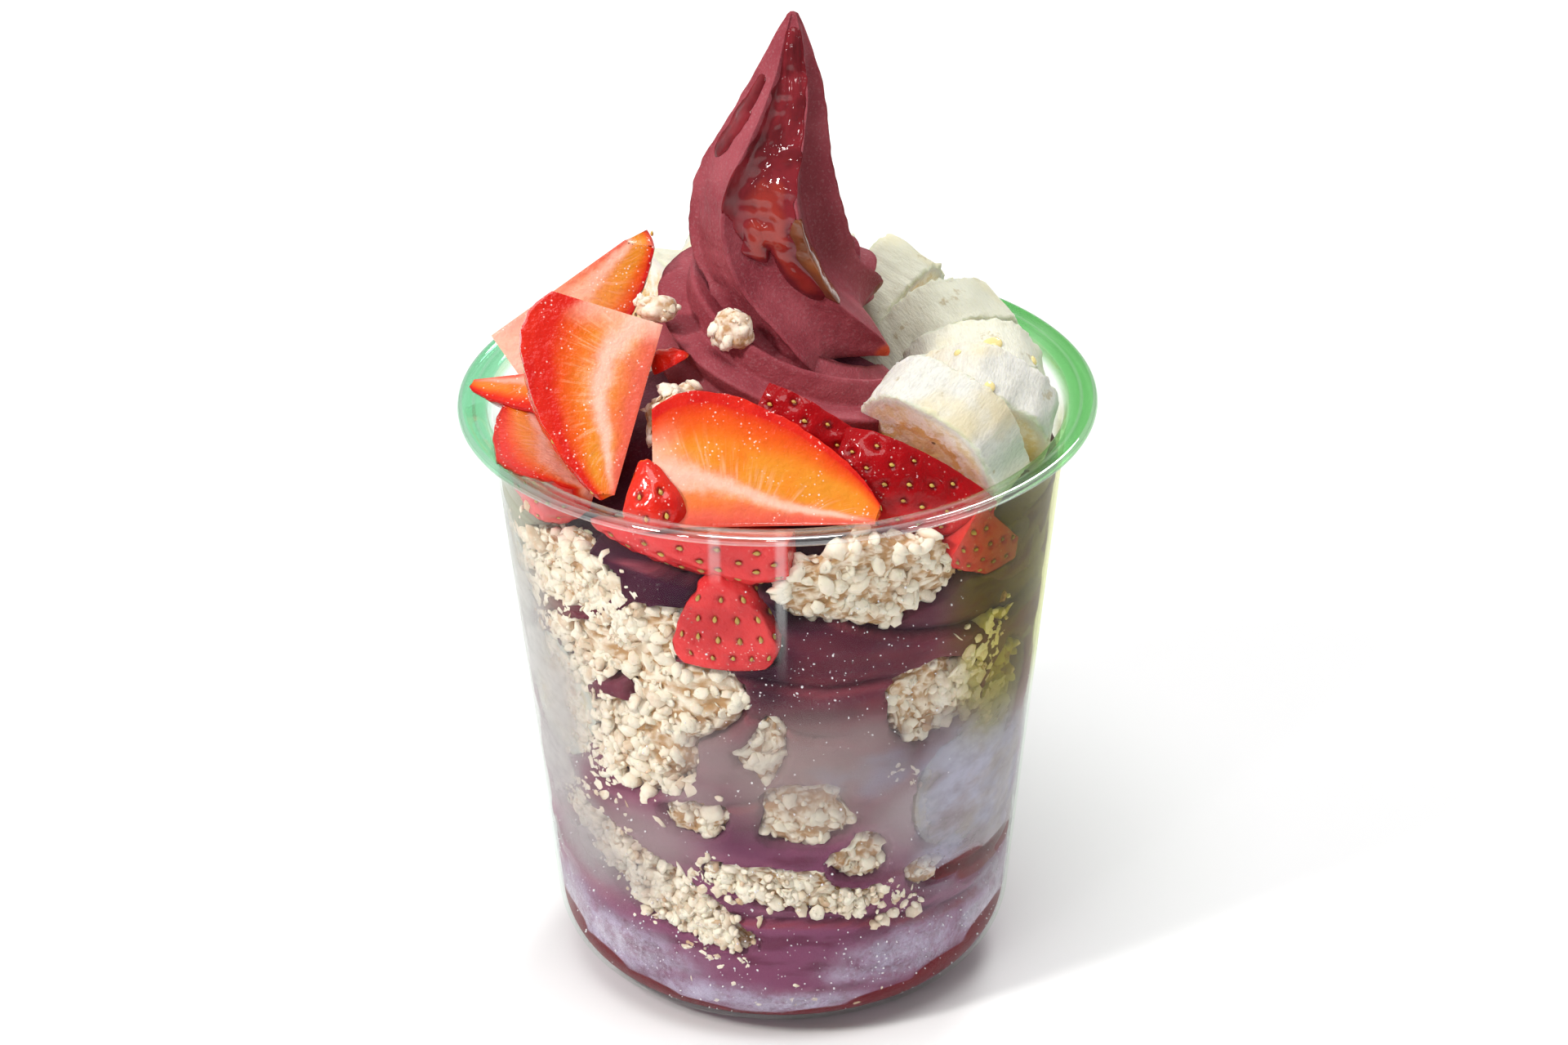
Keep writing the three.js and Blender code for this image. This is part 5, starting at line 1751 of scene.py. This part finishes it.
def film_look(colours):
    look = Finish("frost_on_the_wall", Roughness=0.7, Specular_IOR_Level=0.0)
    fog, chill = look.stored("fog"), look.stored("chill")
    veil, white = look.stored("veil"), look.stored("white")
    grain = look.plus(look.noise(260, 6.0, 0.7), look.times(look.noise(1700, 3.0), 0.3))
    patchy = look.plus(look.times(look.between(grain, 0.5, 0.8), 0.9), 0.2)
    even = look.rest(look.times(chill, look.rest(patchy)))
    thin = look.times(fog, even, 0.28)
    drawn = look.scaled(look.place(), (1.0, 1.0, 1.8))
    streaks = look.plus(0.68, look.times(look.cloud(0.35, 0.62, 110, 5.0, 0.65, drawn), 0.4))
    thick = look.times(veil, streaks)
    # Fine white crystals, thickest where the frost is.
    crystals = look.between(look.cells(900), 0.2, 0.08)
    crystals = look.times(crystals, look.cloud(0.5, 0.7, 140, 2.0), look.times(look.most(fog, 0.25), 0.6))
    amount = look.math("MAXIMUM", look.most(thin, thick), crystals, clamp=True)
    amount = look.times(amount, look.between(look.stored("wet"), 0.28, 0.08))
    look.tone = look.mix(chill, (0.56, 0.46, 0.45), lighter(colours.frost, 0.25))
    hazy = look.mix(white, (0.30, 0.22, 0.29), (0.66, 0.63, 0.62))
    bluish = look.times(look.between(look.parts(look.place())[0], 0.0, 0.02), look.cloud(0.4, 0.6, 90, 4.0, 0.6, drawn))
    hazy = look.mix(bluish, hazy, (0.55, 0.53, 0.65))
    look.paint(hazy, look.between(look.minus(thick, thin), 0.0, 0.12))
    look.paint((0.86, 0.84, 0.86), crystals)
    look.wear(Base_Color=look.tone)
    look.wear(Alpha=amount)
    return look.material


# Frost specks: turn and height, how far they stray in degrees and millimetres, and how many there are.
SPECKS = [(10, 68, 16, 7, 200), (0, 46, 30, 8, 140), (-10, 24, 45, 7, 260), (20, 13, 45, 4, 260), (-50, 40, 14, 16, 90)]


def specks_piece(tub):
    """Tiny crystals of frost on the inside of the wall."""
    random = np.random.default_rng(5)
    shape = ball_form(bpy.ops.mesh.primitive_ico_sphere_add, subdivisions=1)
    heap = Heap()
    for turn, height, aside, over, count in SPECKS:
        for _ in range(count):
            level = float(np.clip(height + random.normal() * over, 4, 84))
            place = towards(turn + random.normal() * aside, tub.inner(level) + 0.3, level)
            turned = basis(random.normal(size=3), 0) * random.uniform(0.5, 1.2, 3)[:, None]
            heap.add(shape, turned, place, 0, 0.16 + 0.3 * random.random() ** 3)
    return heap.piece("frost_specks")


def specks_look():
    look = Finish("frost_crystals", Roughness=0.3, Specular_IOR_Level=0.4)
    look.tone = look.mix(look.cloud(0.4, 0.7, 900, 2.0), (0.92, 0.88, 0.92), (0.72, 0.66, 0.72))
    look.wear(Base_Color=look.tone)
    return look.material


class ACAI_OT_soft_serve(bpy.types.Operator):
    """Fill the tub with acai soft serve and draw it out to a peak"""

    bl_idname = "acai_cup.soft_serve"
    bl_label = "Soft Serve"

    def execute(self, context):
        tub = Tub(context.scene.acai_tub)
        colours = context.scene.acai_colours
        swirl = soft_serve_look(colours)
        filled = fill_piece(tub)
        paint_wall(filled, "fog", "chill", "wet", "shade")
        finish(filled, soft_serve_look(colours, deep=True), "acai", "acai")
        film = film_piece(tub)
        paint_wall(film, "fog", "chill", "veil", "white", "wet")
        finish(film, film_look(colours), "acai")
        finish(specks_piece(tub), specks_look(), "acai")
        finish(rope_piece(), swirl, "acai", "acai")
        finish(peak_piece(context.scene.acai_food.peak_top / MM), swirl, "acai", "acai")
        return {"FINISHED"}


class ACAI_OT_syrup(bpy.types.Operator):
    """Let the syrup and the honey run down the peak"""

    bl_idname = "acai_cup.syrup"
    bl_label = "Syrup"

    def execute(self, context):
        colours = context.scene.acai_colours
        red = syrup_look("red_syrup", colours.syrup, darker(colours.syrup, 0.5), (0.30, 0.030, 0.021))
        amber = syrup_look("honey", colours.amber, darker(colours.amber, 0.3), (0.25, 0.080, 0.024))
        for number, (name, spec) in enumerate(SYRUP.items()):
            piece = syrup_piece(name, spec, context.scene.acai_food.syrup_depth / MM, 800 + 9 * number)
            finish(piece, amber if "honey" in name else red, "acai")
        return {"FINISHED"}


class ACAI_OT_strawberries(bpy.types.Operator):
    """Spin the strawberry wedges and set their seeds"""

    bl_idname = "acai_cup.strawberries"
    bl_label = "Strawberries"

    def execute(self, context):
        tub = Tub(context.scene.acai_tub)
        food = context.scene.acai_food
        flesh = strawberry_look(context.scene.acai_colours)
        seeds = Heap()
        shape = seed_form(food.seed_length / MM)
        for number, (name, spec) in enumerate(STRAWBERRIES.items()):
            random = np.random.default_rng(300 + number)
            wedge = Wedge(spec)
            spots = seed_spots(wedge, food.seed_spacing / MM, random)
            piece = strawberry_piece(name.replace("strawberry", "berry"), wedge, spots, tub, 40 + 7 * number)
            finish(piece, flesh, "strawberry", name)
            smaller = 1 - 0.25 * (wedge.ripe > 0)
            for share, angle in spots:
                turn, centre = seed_place(wedge, share, angle, tub)
                tone, scale = random.uniform(0, 1), random.uniform(0.8, 1.1) * smaller
                seeds.add(shape, turn, centre, tone, scale, lambda points: tub.press(points, 0.02))
        finish(seeds.piece("berry_seeds"), seed_look(), "strawberry")
        return {"FINISHED"}


class ACAI_OT_bananas(bpy.types.Operator):
    """Stand the banana slices round the back and press others on the wall"""

    bl_idname = "acai_cup.bananas"
    bl_label = "Bananas"

    def execute(self, context):
        tub = Tub(context.scene.acai_tub)
        food = context.scene.acai_food
        look = banana_look(context.scene.acai_colours)
        row = []
        for i, height in enumerate(BANANA_ROW["heights"]):
            turn = BANANA_ROW["from"] + i * BANANA_ROW["step"]
            facing = np.array([-math.cos(turn * DEGREE), -math.sin(turn * DEGREE), -BANANA_ROW["lean"]])
            centre = towards(turn, BANANA_ROW["radius"], height)
            turned = np.array(Vector((0, 0, 1)).rotation_difference(Vector(facing)).to_matrix())
            radius = food.banana_radius / MM - (i % 3) * 0.35

            def stood(points, turned=turned, centre=centre):
                return tub.press(points @ turned.T + centre, 0.1)

            piece = banana_piece(f"slice_{i + 1}", radius, food.banana_thickness / MM, stood, 500 + 11 * i)
            row.append(finish(piece, look, "banana", f"banana_{i + 1}"))
        pale_honey = syrup_look("pale_honey", (0.82, 0.68, 0.30), (0.72, 0.56, 0.20), (0.86, 0.75, 0.38))
        finish(drops_piece(row), pale_honey, "banana")
        for number, (node, (turn, height, radius, thickness)) in enumerate(PRESSED_SLICES.items()):

            def pressed(points, turn=turn, height=height, thickness=thickness):
                level = height + points[:, 1]
                reach = tub.inner(level)
                out = np.minimum(reach - thickness * 0.25 - points[:, 2], reach - 0.1)
                return towards(turn + points[:, 0] / (tub.inner(height) * DEGREE), out, level)

            piece = banana_piece(node.replace("banana", "slice"), radius, thickness, pressed, 700 + 11 * number)
            finish(piece, look, "banana", node)
        return {"FINISHED"}


class ACAI_OT_granola(bpy.types.Operator):
    """Cover the granola clusters with oat flakes and clumps"""

    bl_idname = "acai_cup.granola"
    bl_label = "Granola"

    def execute(self, context):
        tub = Tub(context.scene.acai_tub)
        food = context.scene.acai_food
        look = granola_look(context.scene.acai_colours)
        forms = {
            "flakes": [flake_form(food.flake_length / MM, 20 + i) for i in range(6)],
            "clumps": [clump_form(food.clump_size / MM, 60 + i) for i in range(6)],
        }
        nodes = sorted(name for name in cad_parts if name.startswith("granola"))
        for number, node in enumerate(nodes):
            piece = granola_piece(node, tub, forms, 900 + number)
            finish(piece, look, "granola", node)
        finish(scattered_piece(tub, forms), look, "granola")
        return {"FINISHED"}


# Lamps: name, place and size in metres, power in watts and colour.
LAMPS = (
    ("key_light", (-0.75, -0.55, 0.95), 0.17, 9.6, (1.0, 0.98, 0.95)),
    ("soft_light", (-0.05, -0.35, 1.35), 0.7, 8.5, (1.0, 1.0, 1.0)),
    ("front_light", (-0.55, -0.88, 0.42), 0.08, 0.7, (1.0, 1.0, 1.0)),
    ("side_light", (0.72, -0.72, 0.36), 0.06, 0.35, (0.95, 0.98, 1.0)),
    ("low_light", (-0.05, -1.05, 0.62), 0.07, 0.4, (1.0, 1.0, 1.0)),
    ("back_light", (0.35, 0.85, 0.9), 0.4, 5.0, (1.0, 1.0, 1.0)),
)
# Angles in radians, distance and aim in metres, lens and sensor in millimetres.
CAMERA = {
    "rise": 0.4763,
    "roll": -0.0118,
    "distance": 0.7958,
    "aim": (0.000774, 0, 0.07335),
    "lens": 117.8,
    "sensor": 36,
}


class ACAI_OT_stage(bpy.types.Operator):
    """Set up the pale floor, the soft studio light and the camera"""

    bl_idname = "acai_cup.stage"
    bl_label = "Stage"

    def execute(self, context):
        scene = context.scene
        deselect()
        bpy.ops.mesh.primitive_plane_add(size=6, location=(0, 1.5, -0.0002))
        floor = context.object
        floor.name = "floor"
        bpy.ops.object.transform_apply(location=True)
        pale = Finish("pale_floor", Roughness=0.7)
        look = pale.mix(pale.noise(3, 2.0), (0.90, 0.90, 0.90), (0.92, 0.92, 0.92))
        pale.wear(Base_Color=look)
        floor.data.materials.append(pale.material)

        world = bpy.data.worlds.new("studio")
        world.use_nodes = True
        air = world.node_tree.nodes["Background"]
        air.inputs["Strength"].default_value = 0.6
        # The room is darker on the side that the camera stands on.
        sky, links = world.node_tree.nodes, world.node_tree.links
        place, parts, room = (sky.new("ShaderNode" + kind) for kind in ("TexCoord", "SeparateXYZ", "MapRange"))
        links.new(place.outputs["Generated"], parts.inputs[0])
        links.new(parts.outputs["Y"], room.inputs["Value"])
        for name, value in {"From Min": -0.7, "From Max": 0.3, "To Min": 0.3, "To Max": 1.0}.items():
            room.inputs[name].default_value = value
        links.new(room.outputs["Result"], air.inputs["Color"])
        scene.world = world
        scene.view_settings.view_transform = "Standard"

        for name, place, size, power, tone in LAMPS:
            bpy.ops.object.light_add(type="AREA", location=place)
            lamp = context.object
            lamp.name = name
            lamp.data.shape = "DISK"
            lamp.data.size = size
            lamp.data.energy = power
            lamp.data.color = tone
            lamp.rotation_euler = (Vector((0, 0, 0.08)) - Vector(place)).to_track_quat("-Z", "Y").to_euler()

        rise, roll, distance, aim = (CAMERA[name] for name in ("rise", "roll", "distance", "aim"))
        back = Vector((0, -math.cos(rise), math.sin(rise)))
        right, up = Vector((1, 0, 0)), Vector((0, math.sin(rise), math.cos(rise)))
        side = right * math.cos(roll) + up * math.sin(roll)
        top = -right * math.sin(roll) + up * math.cos(roll)
        bpy.ops.object.camera_add()
        camera = context.object
        camera.name = "camera"
        turned = Matrix((side, top, back)).transposed().to_4x4()
        camera.matrix_world = Matrix.Translation(Vector(aim) + back * distance) @ turned
        camera.data.sensor_fit = "HORIZONTAL"
        camera.data.sensor_width = CAMERA["sensor"]
        camera.data.lens = CAMERA["lens"]
        camera.data.clip_end = 20
        scene.camera = camera
        return {"FINISHED"}


class ACAI_PT_panel(bpy.types.Panel):
    """Lists the pieces of the acai cup"""

    bl_label = "Acai Cup"
    bl_idname = "ACAI_PT_panel"
    bl_space_type = "VIEW_3D"
    bl_region_type = "UI"
    bl_category = "Acai Cup"

    def draw(self, context):
        layout = self.layout
        for operator in OPERATORS:
            layout.operator(operator.bl_idname)
        for group in (context.scene.acai_tub, context.scene.acai_food, context.scene.acai_colours):
            box = layout.box()
            for name in group.__annotations__:
                box.prop(group, name)


GROUPS = {"acai_tub": TubSizes, "acai_food": FoodSizes, "acai_colours": FoodColours}
OPERATORS = (
    ACAI_OT_tub,
    ACAI_OT_soft_serve,
    ACAI_OT_syrup,
    ACAI_OT_strawberries,
    ACAI_OT_bananas,
    ACAI_OT_granola,
    ACAI_OT_stage,
)
CLASSES = (*GROUPS.values(), *OPERATORS, ACAI_PT_panel)


def register():
    for kind in CLASSES:
        bpy.utils.register_class(kind)
    for name, group in GROUPS.items():
        setattr(bpy.types.Scene, name, bpy.props.PointerProperty(type=group))


def unregister():
    for name in GROUPS:
        delattr(bpy.types.Scene, name)
    for kind in reversed(CLASSES):
        bpy.utils.unregister_class(kind)


def main():
    register()
    for operator in OPERATORS:
        group, name = operator.bl_idname.split(".")
        getattr(getattr(bpy.ops, group), name)()


if __name__ == "__main__":
    main()
